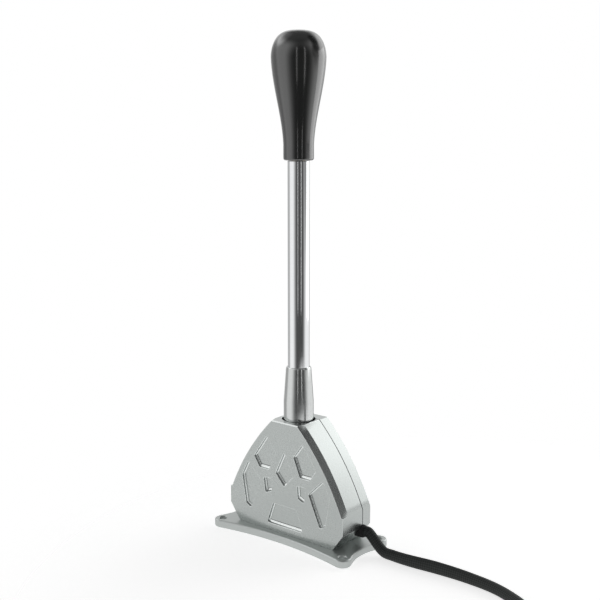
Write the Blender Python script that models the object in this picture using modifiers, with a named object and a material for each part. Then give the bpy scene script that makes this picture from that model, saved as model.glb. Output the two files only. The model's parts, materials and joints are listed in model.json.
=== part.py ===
# Sequential gear lever for a game simulator, in metres, +Z up.
# X is the way the lever is pushed and pulled, -Y is the front face, and the origin is under the base plate.
import math

import bmesh
import bpy
from mathutils import Matrix, Vector

MM = 0.001

# clearances
GAP = 0.3 * MM
FIT = 0.1 * MM
RUNNING_FIT = 0.08 * MM
OVERCUT = 1.0 * MM

# base plate
PLATE_THICKNESS = 6.0 * MM
PLATE_EDGE_CHAMFER = 0.7 * MM
EAR_X = 58.2 * MM
EAR_Y = 21.9 * MM
EAR_RADIUS = 6.5 * MM
EAR_HOLE_DIAMETER = 5.5 * MM
EAR_ARC_START = math.radians(-103)
EAR_ARC_END = math.radians(24)
PLATE_SIDE_HOLLOW = 6.4 * MM
PLATE_END_HOLLOW = 4.4 * MM

# housing, in front view
BOTTOM_HALF = 45.5 * MM
END_HALF = 54.5 * MM
TOP_HALF = 14.0 * MM
CORNER_HEIGHT = 12.4 * MM
SHOULDER_HEIGHT = 25.9 * MM
HOUSING_HEIGHT = 86.1 * MM
SIDE_BULGE = 3.6 * MM
SIDE_STEPS = 12

# housing, through its thickness
FRONT_FACE = 16.8 * MM
REAR_FACE = 16.8 * MM
SPLIT = 7.1 * MM
WALL = 5.0 * MM
FACE_WALL = 4.2 * MM
EDGE_INSET_LOW = 1.4 * MM
EDGE_INSET_TOP = 2.0 * MM
EDGE_DEPTH = 6.4 * MM
POCKET_DEPTH = 2.0 * MM
POCKET_CORNER = 1.1 * MM

# lever
SLEEVE_DIAMETER = 22.4 * MM
SLEEVE_TOP_DIAMETER = 18.8 * MM
SLEEVE_STRAIGHT = 13.9 * MM
SLEEVE_RISE = 39.9 * MM
SLEEVE_LIP = 1.2 * MM
ROD_DIAMETER = 16.0 * MM
SPIGOT_DIAMETER = 14.0 * MM
SPIGOT_RISE = 11.9 * MM
BLOCK_SHOULDER = 0.6 * MM
BLOCK_RISE = 1.8 * MM
KNOB_RISE = 190.9 * MM
KNOB_HEIGHT = 90.4 * MM
KNOB_BELLY = 39.3 * MM
KNOB_NECK = 22.0 * MM
KNOB_CROWN = 19.0 * MM
KNOB_TAPER = 60.0 * MM
KNOB_FULLNESS = 0.7
KNOB_STRAIGHTNESS = 0.3
KNOB_EDGE = 1.0 * MM
INSERT_DIAMETER = 14.0 * MM
INSERT_LENGTH = 25.0 * MM
ROD_THREAD_DIAMETER = 10.0 * MM
SLOT_TRAVEL = 1.7 * MM
SLOT_SIDE_ROOM = 0.6 * MM

# pivot
PIVOT_DEPTH = 22.0 * MM
AXLE_DIAMETER = 8.0 * MM
HUB_RADIUS = 11.0 * MM
HUB_HALF_WIDTH = 8.0 * MM
BUSH_DIAMETER = 12.0 * MM
BUSH_FLANGE_DIAMETER = 16.0 * MM
BUSH_FLANGE = 1.0 * MM
BUSH_SEAT = 3.9 * MM
PIVOT_BOSS_RADIUS = 10.0 * MM

# lower arm and centring
ARM_END_HEIGHT = 28.1 * MM
ARM_HALF_WIDTH = 5.0 * MM
ARM_HALF_THICKNESS = 4.5 * MM
ARM_END_RADIUS = 6.0 * MM
TAIL_LENGTH = 14.0 * MM
TAIL_HALF_WIDTH = 4.0 * MM
PLUNGER_HEAD_DIAMETER = 10.0 * MM
PLUNGER_HEAD = 3.0 * MM
PLUNGER_STEM_DIAMETER = 5.0 * MM
PLUNGER_STEM_OVERRUN = 3.0 * MM
GUIDE_FACE = 30.0 * MM
GUIDE_LENGTH = 9.0 * MM
GUIDE_DIAMETER = 8.6 * MM
GUIDE_FLANGE_DIAMETER = 11.0 * MM
GUIDE_FLANGE = 1.2 * MM
RIB_HALF_HEIGHT = 8.0 * MM
RIB_REAR = 6.6 * MM
SPRING_WIRE = 1.2 * MM
SPRING_MEAN_DIAMETER = 7.6 * MM
SPRING_TURNS = 6
SPRING_POINTS = 9

# end stops
SWING = math.radians(3.5)
STOP_BASE = 2.4 * MM
STOP_HALF_LENGTH = 20.0 * MM
STOP_HALF_WIDTH = 3.4 * MM
STOP_WALL = 2.6 * MM
STOP_SCREW_X = 16.0 * MM
STOP_THREAD = 4.0 * MM
STOP_SCREW_GRIP = 3.0 * MM
PAD_THICKNESS = 2.0 * MM
PAD_HEIGHT = 7.0 * MM

# sensing
BOARD_THICKNESS = 1.6 * MM
BOARD_HALF_LENGTH = 25.4 * MM
BOARD_HEIGHT = 15.0 * MM
BOARD_DROP = 3.2 * MM
BOARD_BOSS = 3.6 * MM
BOARD_BOSS_RADIUS = 3.0 * MM
BOARD_SCREW_X = 22.0 * MM
BOARD_SCREW_LENGTH = 4.48 * MM
SENSOR_X = 6.0 * MM
SENSOR_SIZE = (4.2 * MM, 0.9 * MM, 3.2 * MM)
CONTROLLER_X = -13.5 * MM
CONTROLLER_SIZE = (6.0 * MM, 1.0 * MM, 6.0 * MM)
CONNECTOR_X = 15.5 * MM
CONNECTOR_SIZE = (6.6 * MM, 3.0 * MM, 8.0 * MM)
MAGNET_DIAMETER = 4.0 * MM
MAGNET_LENGTH = 2.6 * MM

# fasteners
COVER_SCREWS = ((19.5 * MM, 69.0 * MM), (41.0 * MM, 40.0 * MM), (31.0 * MM, 6.5 * MM))
COVER_SCREW_BOSS = 5.0 * MM
SCREW_DIAMETER = 4.0 * MM
SCREW_HEAD_DIAMETER = 7.0 * MM
SCREW_HEAD = 4.0 * MM
SCREW_LENGTH = 16.0 * MM
SCREW_SOCKET = 3.0 * MM
BASE_SOCKET_DEPTH = 2.0 * MM
BASE_SCREW_X = 38.0 * MM
BASE_SCREW_FRONT = -6.0 * MM
BASE_SCREW_REAR = 12.0 * MM
BASE_SCREW_HEAD_DIAMETER = 8.0 * MM
BASE_SCREW_REACH = 4.0 * MM
GRUB_DIAMETER = 4.0 * MM
GRUB_BELOW = 5.0 * MM
GRUB_ABOVE = 9.0 * MM
SMALL_SCREW_DIAMETER = 2.5 * MM
SMALL_HEAD_DIAMETER = 4.6 * MM
SMALL_HEAD = 1.7 * MM
SMALL_SOCKET = 2.0 * MM

# lead
CORD_DIAMETER = 7.5 * MM
CORD_HEIGHT = 9.3 * MM
GROMMET_DIAMETER = 9.4 * MM
GROMMET_LENGTH = 9.0 * MM
GROMMET_NOSE = 2.0 * MM
GROMMET_EDGE = 1.0 * MM
OUTLET_RUN_IN = 3.0 * MM
INNER_LEAD_DIAMETER = 3.6 * MM

# hank that puts the rest of the lead away
HANK_CENTRE = (305.0 * MM, -5.0 * MM)
HANK_HALF_RUN = 33.0 * MM
HANK_FOLD = 2 * CORD_DIAMETER
HANK_ROOM = 1.5 * MM
HANK_DRAW_IN = 8.0 * MM
HANK_POINTS = 24
RUN_SHARE = 4 / HANK_POINTS
TURNS_IN = 2
TAIL_RUN = 18.0 * MM
TIE_THICKNESS = 1.0 * MM
TIE_WIDTH = 10.0 * MM
TIE_SLACK = 1.7 * MM
TIE_CORNER = 1.6 * MM

# plug
PLUG_LENGTH = 28.0 * MM
PLUG_WIDTH = 16.0 * MM
PLUG_HEIGHT = 8.4 * MM
SHELL_LENGTH = 19.0 * MM
SHELL_WIDTH = 12.0 * MM
SHELL_HEIGHT = 4.5 * MM
PLUG_CORNER = 1.0 * MM

# places worked out from the sizes above
HOUSING_TOP = PLATE_THICKNESS + HOUSING_HEIGHT
PIVOT = Vector((0, 0, HOUSING_TOP - PIVOT_DEPTH))
ARM_END = PLATE_THICKNESS + ARM_END_HEIGHT
TAIL_END = ARM_END - TAIL_LENGTH
FLOOR = PLATE_THICKNESS + WALL
CAVITY_FRONT = -FRONT_FACE + FACE_WALL
CAVITY_REAR = REAR_FACE - FACE_WALL
SLEEVE_BOTTOM = PIVOT.z + HUB_RADIUS + BLOCK_RISE
SLEEVE_TAPER_START = HOUSING_TOP + SLEEVE_STRAIGHT
SLEEVE_TOP = HOUSING_TOP + SLEEVE_RISE
SPIGOT_TOP = HOUSING_TOP + SPIGOT_RISE
KNOB_BOTTOM = HOUSING_TOP + KNOB_RISE
MAGNET = Vector((0, 0, TAIL_END + TAIL_HALF_WIDTH))
BOARD_MIDDLE = MAGNET.z - BOARD_DROP
FLANGE_INSIDE = HUB_HALF_WIDTH + GAP
BOSS_FACE = FLANGE_INSIDE + BUSH_FLANGE + GAP
CORD_LEVEL = PLATE_THICKNESS + CORD_HEIGHT
HANK_STEP = CORD_DIAMETER + HANK_ROOM
TURNS_A_LAYER = TURNS_IN + RUN_SHARE / 2
FULL_TURNS = 2 * TURNS_IN
TURNS = FULL_TURNS + RUN_SHARE / 2
ROLL_START = FULL_TURNS - (0.5 - RUN_SHARE)
HANK_OUTER = HANK_FOLD + HANK_STEP * TURNS_A_LAYER

TURN_TO_X = Matrix.Rotation(math.pi / 2, 4, "Y")
TURN_TO_Y = Matrix.Rotation(-math.pi / 2, 4, "X")
STAND_UP = Matrix.Rotation(math.pi / 2, 4, "X")
FACE_X = Matrix.Rotation(math.pi / 2, 4, "Z") @ STAND_UP


def clear_scene():
    for thing in list(bpy.data.objects):
        bpy.data.objects.remove(thing)


def new_collection(name):
    made = bpy.data.collections.new(name)
    bpy.context.scene.collection.children.link(made)
    return made


clear_scene()
PARTS = new_collection("sequential_gear_lever")
CUTTERS = new_collection("cutters")


def material(name, colour, metallic, roughness):
    made = bpy.data.materials.new(name)
    made.use_nodes = True
    shader = made.node_tree.nodes["Principled BSDF"]
    shader.inputs["Base Color"].default_value = (*colour, 1)
    shader.inputs["Metallic"].default_value = metallic
    shader.inputs["Roughness"].default_value = roughness
    return made


ALUMINIUM = ((0.66, 0.69, 0.68), 1.0, 0.35)
STEEL = ((0.62, 0.62, 0.64), 1.0, 0.2)
DARK_STEEL = ((0.08, 0.08, 0.09), 1.0, 0.4)
BRASS = ((0.78, 0.57, 0.23), 1.0, 0.3)
BLACK_GLOSS = ((0.012, 0.012, 0.013), 0.0, 0.1)
BLACK_SOFT = ((0.02, 0.02, 0.02), 0.0, 0.8)
BOARD_GREEN = ((0.02, 0.2, 0.08), 0.0, 0.5)
CREAM = ((0.75, 0.7, 0.58), 0.0, 0.5)


def link(thing, finish):
    """Puts a piece among the parts with a material of its own, or a cutter, which has no finish, aside."""
    if finish is None:
        CUTTERS.objects.link(thing)
        thing.hide_render = True
        thing.display_type = "WIRE"
    else:
        PARTS.objects.link(thing)
        thing.data.materials.append(material(thing.name, *finish))
    return thing


def weld(mesh):
    """Joins doubled points and turns every face outwards."""
    shape = bmesh.new()
    shape.from_mesh(mesh)
    bmesh.ops.remove_doubles(shape, verts=shape.verts, dist=1e-7)
    bmesh.ops.recalc_face_normals(shape, faces=shape.faces)
    shape.to_mesh(mesh)
    shape.free()


def mesh_of_curve(name, curve):
    """Turns a curve into a closed mesh of the same shape."""
    drawn = bpy.data.objects.new(name, curve)
    bpy.context.scene.collection.objects.link(drawn)
    graph = bpy.context.evaluated_depsgraph_get()
    mesh = bpy.data.meshes.new_from_object(drawn.evaluated_get(graph))
    bpy.data.objects.remove(drawn)
    weld(mesh)
    mesh.name = name
    mesh.materials.clear()
    return mesh


def prism(name, outlines, low, high, finish=None, turn=None, chamfer=0.0):
    """An outline, with any holes after it, made solid from low to high along Z and then turned."""
    curve = bpy.data.curves.new(name, "CURVE")
    curve.dimensions = "2D"
    curve.fill_mode = "BOTH"
    curve.bevel_depth = chamfer
    curve.bevel_resolution = 0
    curve.offset = -chamfer
    curve.extrude = (high - low) / 2 - chamfer
    for outline in outlines:
        spline = curve.splines.new("POLY")
        spline.points.add(len(outline) - 1)
        for point, (across, up) in zip(spline.points, outline):
            point.co = (across, up, 0, 1)
        spline.use_cyclic_u = True
    mesh = mesh_of_curve(name, curve)
    mesh.transform(Matrix.Translation((0, 0, (low + high) / 2)))
    if turn is not None:
        mesh.transform(turn)
    return link(bpy.data.objects.new(name, mesh), finish)


def upright(name, outlines, front, rear, finish=None):
    """An outline drawn in front view, across and up, made solid from front to rear along Y."""
    return prism(name, outlines, -rear, -front, finish, STAND_UP)


def box(name, low, high, finish=None):
    """A block between two opposite corners."""
    corners = ((low[0], low[1]), (high[0], low[1]), (high[0], high[1]), (low[0], high[1]))
    return prism(name, [corners], low[2], high[2], finish)


def turned(name, profile, finish=None, steps=24, place=(0, 0, 0), turn=None, hollow=False):
    """A profile of radius and height, down its outer side, turned about Z, then laid over and placed."""
    mesh = bpy.data.meshes.new(name)
    points = [(radius, 0, height) for radius, height in profile]
    edges = [(i, i + 1) for i in range(len(points) - 1)]
    if hollow:
        edges.append((len(points) - 1, 0))
    mesh.from_pydata(points, edges, [])
    thing = link(bpy.data.objects.new(name, mesh), finish)
    screw = thing.modifiers.new("turn", "SCREW")
    screw.axis = "Z"
    screw.steps = steps
    screw.render_steps = steps
    screw.use_merge_vertices = True
    screw.merge_threshold = 1e-6
    thing.matrix_world = Matrix.Translation(place) @ (turn or Matrix())
    return thing


def rod(name, radius, low, high, **more):
    """A plain round bar along its axis."""
    return turned(name, [(0, high), (radius, high), (radius, low), (0, low)], **more)


def tube(name, outer, inner, low, high, **more):
    """A round bar with a bore right through."""
    ring = [(inner, high), (outer, high), (outer, low), (inner, low)]
    return turned(name, ring, hollow=True, **more)


def combine(thing, tool, operation):
    boolean = thing.modifiers.new(tool.name, "BOOLEAN")
    boolean.operation = operation
    boolean.solver = "EXACT"
    boolean.object = tool


def cut(thing, tool):
    combine(thing, tool, "DIFFERENCE")


def join(thing, tool):
    combine(thing, tool, "UNION")


def arc(centre, radius, start, end, steps):
    """Points on a circle from one angle to another."""
    angles = [start + (end - start) * i / steps for i in range(steps + 1)]
    return [(centre[0] + radius * math.cos(a), centre[1] + radius * math.sin(a)) for a in angles]


def bowed(start, end, bow, steps):
    """Points from start to end on a shallow curve that stands off to the right of the way there."""
    start, end = Vector(start), Vector(end)
    way = (end - start).normalized()
    aside = Vector((way.y, -way.x))
    shares = [i / steps for i in range(steps + 1)]
    return [tuple(start.lerp(end, t) + aside * bow * 4 * t * (1 - t)) for t in shares]


def rounded(corners, radius, steps=3):
    """A polygon with each corner turned on an arc."""
    points = []
    for i, corner in enumerate(corners):
        here = Vector(corner)
        back = (Vector(corners[i - 1]) - here).normalized()
        ahead = (Vector(corners[(i + 1) % len(corners)]) - here).normalized()
        half = back.angle(ahead) / 2
        middle = here + (back + ahead).normalized() * radius / math.sin(half)
        first = here + back * radius / math.tan(half) - middle
        last = here + ahead * radius / math.tan(half) - middle
        sweep = first.angle_signed(last)
        for step in range(steps + 1):
            angle = -sweep * step / steps
            points.append(tuple(middle + Matrix.Rotation(angle, 2) @ first))
    return points


def eased(share):
    """A share from 0 to 1 that starts and ends gently."""
    share = min(max(share, 0), 1)
    return share**2 * (3 - 2 * share)


def mirrored(points):
    return [(-across, up) for across, up in reversed(points)]


def inset(points, distance):
    """A convex outline, drawn anticlockwise, with every side moved inwards."""
    moved = []
    for i, point in enumerate(points):
        before = (Vector(point) - Vector(points[i - 1])).normalized()
        after = (Vector(points[(i + 1) % len(points)]) - Vector(point)).normalized()
        inward = Vector((-before.y - after.y, before.x + after.x)).normalized()
        moved.append(tuple(Vector(point) + inward * distance / inward.dot(Vector((-before.y, before.x)))))
    return moved


def housing_half(inset_low=0.0, inset_top=0.0):
    """The right half of the housing's outline, from the bottom corner up to the top."""
    shoulder = PLATE_THICKNESS + SHOULDER_HEIGHT
    low = [(BOTTOM_HALF, PLATE_THICKNESS), (END_HALF, PLATE_THICKNESS + CORNER_HEIGHT), (END_HALF, shoulder)]
    side_start = (END_HALF - inset_low, shoulder)
    side_end = (TOP_HALF - inset_top, HOUSING_TOP)
    return low + bowed(side_start, side_end, SIDE_BULGE, SIDE_STEPS)


def housing_outline():
    """The whole outline, with the shoulder's doubled point left out."""
    half = housing_half()
    half.pop(2)
    return half + mirrored(half)


def plate_outline():
    """Four round ears with hollow curves between them."""
    ear = arc((EAR_X, -EAR_Y), EAR_RADIUS, EAR_ARC_START, EAR_ARC_END, 8)
    rear_ear = [(across, -back) for across, back in reversed(ear)]
    end = bowed(ear[-1], rear_ear[0], -PLATE_END_HOLLOW, 8)[1:-1]
    side = bowed(rear_ear[-1], (-rear_ear[-1][0], rear_ear[-1][1]), -PLATE_SIDE_HOLLOW, 14)[1:-1]
    right = ear + end + rear_ear + side
    return right + [(-across, -back) for across, back in right]


def base_screw_places():
    return [(x, y) for y in (BASE_SCREW_FRONT, BASE_SCREW_REAR) for x in (-BASE_SCREW_X, BASE_SCREW_X)]


def cover_screw_places():
    return [(side * x, PLATE_THICKNESS + z) for x, z in COVER_SCREWS for side in (-1, 1)]


def countersink(grow, foot):
    """The profile of a flat-headed screw, head down: its cone is full width at the origin."""
    head = BASE_SCREW_HEAD_DIAMETER / 2 + grow
    shank = SCREW_DIAMETER / 2 + grow
    top = PLATE_THICKNESS + BASE_SCREW_REACH + grow
    return [(0, top), (shank, top), (shank, head - shank), (head - foot, foot), (0, foot)]


def base_plate():
    holes = [
        arc((x, y), EAR_HOLE_DIAMETER / 2, 0, 2 * math.pi, 16)[:-1]
        for x in (-EAR_X, EAR_X)
        for y in (-EAR_Y, EAR_Y)
    ]
    plate = prism("base_plate", [plate_outline(), *holes], 0, PLATE_THICKNESS, ALUMINIUM,
                  chamfer=PLATE_EDGE_CHAMFER)
    for i, (x, y) in enumerate(base_screw_places()):
        cut(plate, turned(f"plate_hole_{i}", countersink(FIT, -OVERCUT), steps=16, place=(x, y, 0)))


def base_screws(shells):
    for i, (x, y) in enumerate(base_screw_places()):
        screw = turned(f"base_screw_{i + 1}", countersink(0, GAP), DARK_STEEL, 16, (x, y, 0))
        cut(screw, rod(f"base_socket_{i}", SCREW_SOCKET / 2, -OVERCUT, BASE_SOCKET_DEPTH,
                       steps=6, place=(x, y, 0)))
        hole = rod(f"base_thread_{i}", SCREW_DIAMETER / 2 + FIT, -OVERCUT, BASE_SCREW_REACH + 2 * GAP,
                   steps=16, place=(x, y, PLATE_THICKNESS))
        cut(shells[0 if y < SPLIT else 1], hole)


def front_pockets():
    """The milled lightening pockets of the front face, right side first, in mm above the plate."""
    upper = ((8.8, 62), (15, 47.4), (24.3, 47.4), (29.8, 55.5), (17.2, 73))
    side = ((22.9, 36.6), (33.6, 13.2), (38.4, 15.8), (42.2, 38), (36.2, 49.6))
    lower = ((-17.2, 5.5), (17.2, 5.5), (11.2, 21.8), (-11.2, 21.8))
    centre = ((0, 37), (8.4, 46.2), (0, 64), (-8.4, 46.2))
    brace = ((12.8, 31.2), (18.6, 28.6), (20.6, 40.6), (12, 40.6))
    pairs = [upper, side, brace]
    shapes = pairs + [mirrored(shape) for shape in pairs] + [lower, centre]
    outlines = [[(x * MM, PLATE_THICKNESS + z * MM) for x, z in shape] for shape in shapes]
    return [rounded(outline, POCKET_CORNER) for outline in outlines]


def front_half():
    """The front half as three outlines, front to rear, with the side edges drawn in at the front."""
    rings = []
    front = (-FRONT_FACE, EDGE_INSET_LOW, EDGE_INSET_TOP)
    for y, low, top in (front, (-FRONT_FACE + EDGE_DEPTH, 0, 0), (SPLIT, 0, 0)):
        half = housing_half(low, top)
        rings.append([(x, y, z) for x, z in half + mirrored(half)])
    count = len(rings[0])
    faces = [tuple(range(count)), tuple(2 * count + i for i in reversed(range(count)))]
    for ring in (0, count):
        for i in range(count):
            after = (i + 1) % count
            faces.append((ring + i, ring + count + i, ring + count + after, ring + after))
    mesh = bpy.data.meshes.new("main_body")
    mesh.from_pydata([point for ring in rings for point in ring], [], faces)
    weld(mesh)
    return link(bpy.data.objects.new("main_body", mesh), ALUMINIUM)


def shell_fittings(shell, name, split_face, wall, outward):
    """Hollows a shell from its split face and gives it its screw bosses and pivot boss."""
    ends = sorted((split_face - outward * OVERCUT, wall))
    cut(shell, upright(f"{name}_cavity", [inset(housing_outline(), WALL)], *ends))
    root = wall + outward * OVERCUT
    for i, (x, z) in enumerate(cover_screw_places()):
        boss = arc((x, z), COVER_SCREW_BOSS, 0, 2 * math.pi, 16)[:-1]
        join(shell, upright(f"{name}_boss_{i}", [boss], *sorted((root, split_face + outward * FIT))))
    boss = arc((0, PIVOT.z), PIVOT_BOSS_RADIUS, 0, 2 * math.pi, 24)[:-1]
    join(shell, upright(f"{name}_pivot_boss", [boss], *sorted((root, outward * BOSS_FACE))))


def shell_cuts(shell, name, sign):
    """Cuts the bores that both shells share."""
    end = sign * (BOSS_FACE + BUSH_SEAT)
    low, high = sorted((0, end))
    cut(shell, rod(f"{name}_bush_bore", BUSH_DIAMETER / 2 + FIT, low, high, place=PIVOT, turn=TURN_TO_Y))
    sleeve = SLEEVE_DIAMETER / 2
    slot = arc((SLOT_TRAVEL - SLOT_SIDE_ROOM, 0), sleeve + SLOT_SIDE_ROOM, -math.pi / 2, math.pi / 2, 14)
    slot += [(-x, -y) for x, y in slot]
    cut(shell, prism(f"{name}_slot", [slot], HOUSING_TOP - 2 * WALL, HOUSING_TOP + OVERCUT))
    inner_end = BOTTOM_HALF - OUTLET_RUN_IN
    cut(shell, rod(f"{name}_outlet", GROMMET_DIAMETER / 2 + FIT, inner_end, END_HALF + GROMMET_NOSE,
                   place=(0, SPLIT + GAP / 2, CORD_LEVEL), turn=TURN_TO_X))


def main_body():
    body = front_half()
    shell_fittings(body, "body", SPLIT, CAVITY_FRONT, -1)
    for side in (-1, 1):
        near, far = sorted((side * (GUIDE_FACE + GUIDE_FLANGE + GAP), side * (GUIDE_FACE + GUIDE_LENGTH)))
        rib = box(f"body_rib_{side}", (near, CAVITY_FRONT - OVERCUT, ARM_END - RIB_HALF_HEIGHT),
                  (far, RIB_REAR, ARM_END + RIB_HALF_HEIGHT))
        join(body, rib)
        near, far = sorted((side * GUIDE_FACE, side * (GUIDE_FACE + GUIDE_LENGTH + OVERCUT)))
        bore = rod(f"body_rib_bore_{side}", GUIDE_DIAMETER / 2 + FIT, near, far,
                   place=(0, 0, ARM_END), turn=TURN_TO_X, steps=16)
        cut(body, bore)
        x = side * BOARD_SCREW_X
        boss = arc((x, BOARD_MIDDLE), BOARD_BOSS_RADIUS, 0, 2 * math.pi, 12)[:-1]
        join(body, upright(f"body_board_boss_{side}", [boss], CAVITY_FRONT - OVERCUT,
                           CAVITY_FRONT + BOARD_BOSS))
        thread = SMALL_SCREW_DIAMETER / 2 + FIT
        cut(body, rod(f"body_board_thread_{side}", thread, CAVITY_FRONT, 0,
                      place=(x, 0, BOARD_MIDDLE), turn=TURN_TO_Y, steps=12))
        cut(body, rod(f"body_stop_thread_{side}", thread, FLOOR - STOP_THREAD, FLOOR + OVERCUT,
                      place=(side * STOP_SCREW_X, 0, 0), steps=12))
    for i, pocket in enumerate(front_pockets()):
        cut(body, upright(f"body_pocket_{i}", [pocket], -FRONT_FACE - OVERCUT, -FRONT_FACE + POCKET_DEPTH))
    shell_cuts(body, "body", -1)
    tip = REAR_FACE - SCREW_HEAD - SCREW_LENGTH - 2 * GAP
    for i, (x, z) in enumerate(cover_screw_places()):
        cut(body, rod(f"body_thread_{i}", SCREW_DIAMETER / 2 + FIT, tip, SPLIT + OVERCUT,
                      place=(x, 0, z), turn=TURN_TO_Y, steps=16))
    return body


def rear_cover():
    inner = SPLIT + GAP
    cover = upright("rear_cover", [housing_outline()], inner, REAR_FACE, ALUMINIUM)
    shell_fittings(cover, "cover", inner, CAVITY_REAR, 1)
    shell_cuts(cover, "cover", 1)
    for i, (x, z) in enumerate(cover_screw_places()):
        shank = SCREW_DIAMETER / 2 + FIT
        head = SCREW_HEAD_DIAMETER / 2 + GAP
        seat = REAR_FACE - SCREW_HEAD - GAP
        profile = [(0, REAR_FACE + OVERCUT), (head, REAR_FACE + OVERCUT), (head, seat), (shank, seat),
                   (shank, inner - OVERCUT), (0, inner - OVERCUT)]
        cut(cover, turned(f"cover_hole_{i}", profile, steps=16, place=(x, 0, z), turn=TURN_TO_Y))
    return cover


def cover_screws():
    for i, (x, z) in enumerate(cover_screw_places()):
        shank, head = SCREW_DIAMETER / 2, SCREW_HEAD_DIAMETER / 2
        top = REAR_FACE - GAP / 2
        seat = top - SCREW_HEAD
        tip = seat - SCREW_LENGTH
        profile = [(0, top), (head, top), (head, seat), (shank, seat), (shank, tip), (0, tip)]
        screw = turned(f"cover_screw_{i + 1}", profile, DARK_STEEL, 16, (x, 0, z), TURN_TO_Y)
        cut(screw, rod(f"cover_socket_{i}", SCREW_SOCKET / 2, top - SCREW_HEAD / 2, top + OVERCUT,
                       steps=6, place=(x, 0, z), turn=TURN_TO_Y))


def pivot():
    moving = []
    end = BOSS_FACE + BUSH_SEAT - GAP
    moving.append(rod("pivot_axle", AXLE_DIAMETER / 2, -end, end, finish=STEEL, place=PIVOT, turn=TURN_TO_Y))
    for name, sign in (("pivot_bush_front", -1), ("pivot_bush_rear", 1)):
        bore, body, flange = AXLE_DIAMETER / 2 + RUNNING_FIT, BUSH_DIAMETER / 2, BUSH_FLANGE_DIAMETER / 2
        seat = FLANGE_INSIDE + BUSH_FLANGE
        profile = [(bore, sign * FLANGE_INSIDE), (flange, sign * FLANGE_INSIDE), (flange, sign * seat),
                   (body, sign * seat), (body, sign * end), (bore, sign * end)]
        if sign > 0:
            profile.reverse()
        turned(name, profile, BRASS, place=PIVOT, turn=TURN_TO_Y, hollow=True)
    return moving


def hub_arm_outline():
    """The arm from the pivot down to its round end and on to the tail, in front view."""
    drop = math.asin(TAIL_HALF_WIDTH / ARM_END_RADIUS)
    rise = math.asin(ARM_HALF_WIDTH / ARM_END_RADIUS)
    right = [(TAIL_HALF_WIDTH, TAIL_END)]
    right += arc((0, ARM_END), ARM_END_RADIUS, drop - math.pi / 2, math.pi / 2 - rise, 14)
    right.append((ARM_HALF_WIDTH, PIVOT.z))
    return right + mirrored(right)


def lever_hub():
    """The rocker: a barrel on the axle, a block and spigot above it, and the arm below."""
    hub = rod("lever_hub", HUB_RADIUS, -HUB_HALF_WIDTH, HUB_HALF_WIDTH,
              finish=STEEL, place=PIVOT, turn=TURN_TO_Y)
    join(hub, upright("hub_arm", [hub_arm_outline()], -ARM_HALF_THICKNESS, ARM_HALF_THICKNESS))
    half = SPIGOT_DIAMETER / 2
    block = half + BLOCK_SHOULDER
    join(hub, box("hub_block", (-block, -block, PIVOT.z - OVERCUT), (block, block, SLEEVE_BOTTOM - GAP)))
    join(hub, rod("hub_spigot", half, PIVOT.z + AXLE_DIAMETER, SPIGOT_TOP))
    cut(hub, rod("hub_magnet_bore", MAGNET_DIAMETER / 2 + FIT, -ARM_HALF_THICKNESS - OVERCUT,
                 -ARM_HALF_THICKNESS + MAGNET_LENGTH + GAP, place=MAGNET, turn=TURN_TO_Y, steps=16))
    cut(hub, rod("hub_bore", AXLE_DIAMETER / 2 + FIT, -2 * HUB_HALF_WIDTH, 2 * HUB_HALF_WIDTH,
                 place=PIVOT, turn=TURN_TO_Y))
    return hub


def grub_heights():
    """The two grub screws: one on the hub's spigot and one on the rod, above the housing."""
    lower = ("sleeve_grub_lower", SPIGOT_TOP - GRUB_BELOW, SPIGOT_DIAMETER)
    upper = ("sleeve_grub_upper", SPIGOT_TOP + GRUB_ABOVE, ROD_DIAMETER)
    return lower, upper


def lever():
    """The sleeve, rod, knob and what joins them, from the hub up."""
    outer, tip = SLEEVE_DIAMETER / 2, SLEEVE_TOP_DIAMETER / 2
    lower, upper = SPIGOT_DIAMETER / 2 + FIT, ROD_DIAMETER / 2 + FIT
    step = SPIGOT_TOP + GAP
    profile = [(upper, SLEEVE_TOP), (tip - SLEEVE_LIP / 2, SLEEVE_TOP), (tip, SLEEVE_TOP - SLEEVE_LIP),
               (outer, SLEEVE_TAPER_START), (outer, SLEEVE_BOTTOM), (lower, SLEEVE_BOTTOM), (lower, step),
               (upper, step)]
    sleeve = turned("lever_sleeve", profile, STEEL, 32, hollow=True)
    pieces = [sleeve]
    for name, height, inside in grub_heights():
        near, far = inside / 2 + 2 * FIT, outer - 4 * FIT
        pieces.append(rod(name, GRUB_DIAMETER / 2, near, far, finish=DARK_STEEL, steps=12,
                          place=(0, 0, height), turn=TURN_TO_Y))
        cut(sleeve, rod(f"{name}_hole", GRUB_DIAMETER / 2 + FIT, inside / 4, outer + OVERCUT, steps=12,
                        place=(0, 0, height), turn=TURN_TO_Y))
    shoulder = KNOB_BOTTOM - GAP
    thread, bar = ROD_THREAD_DIAMETER / 2, ROD_DIAMETER / 2
    top = KNOB_BOTTOM + INSERT_LENGTH
    foot = step + GAP
    profile = [(0, top), (thread, top), (thread, shoulder), (bar, shoulder), (bar, foot), (0, foot)]
    pieces.append(turned("lever_rod", profile, STEEL, 32))
    insert = INSERT_DIAMETER / 2
    pieces.append(tube("knob_insert", insert, thread + FIT, KNOB_BOTTOM + GAP, top, finish=BRASS))
    pieces.append(knob(insert + FIT, top + GAP))
    return pieces


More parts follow.
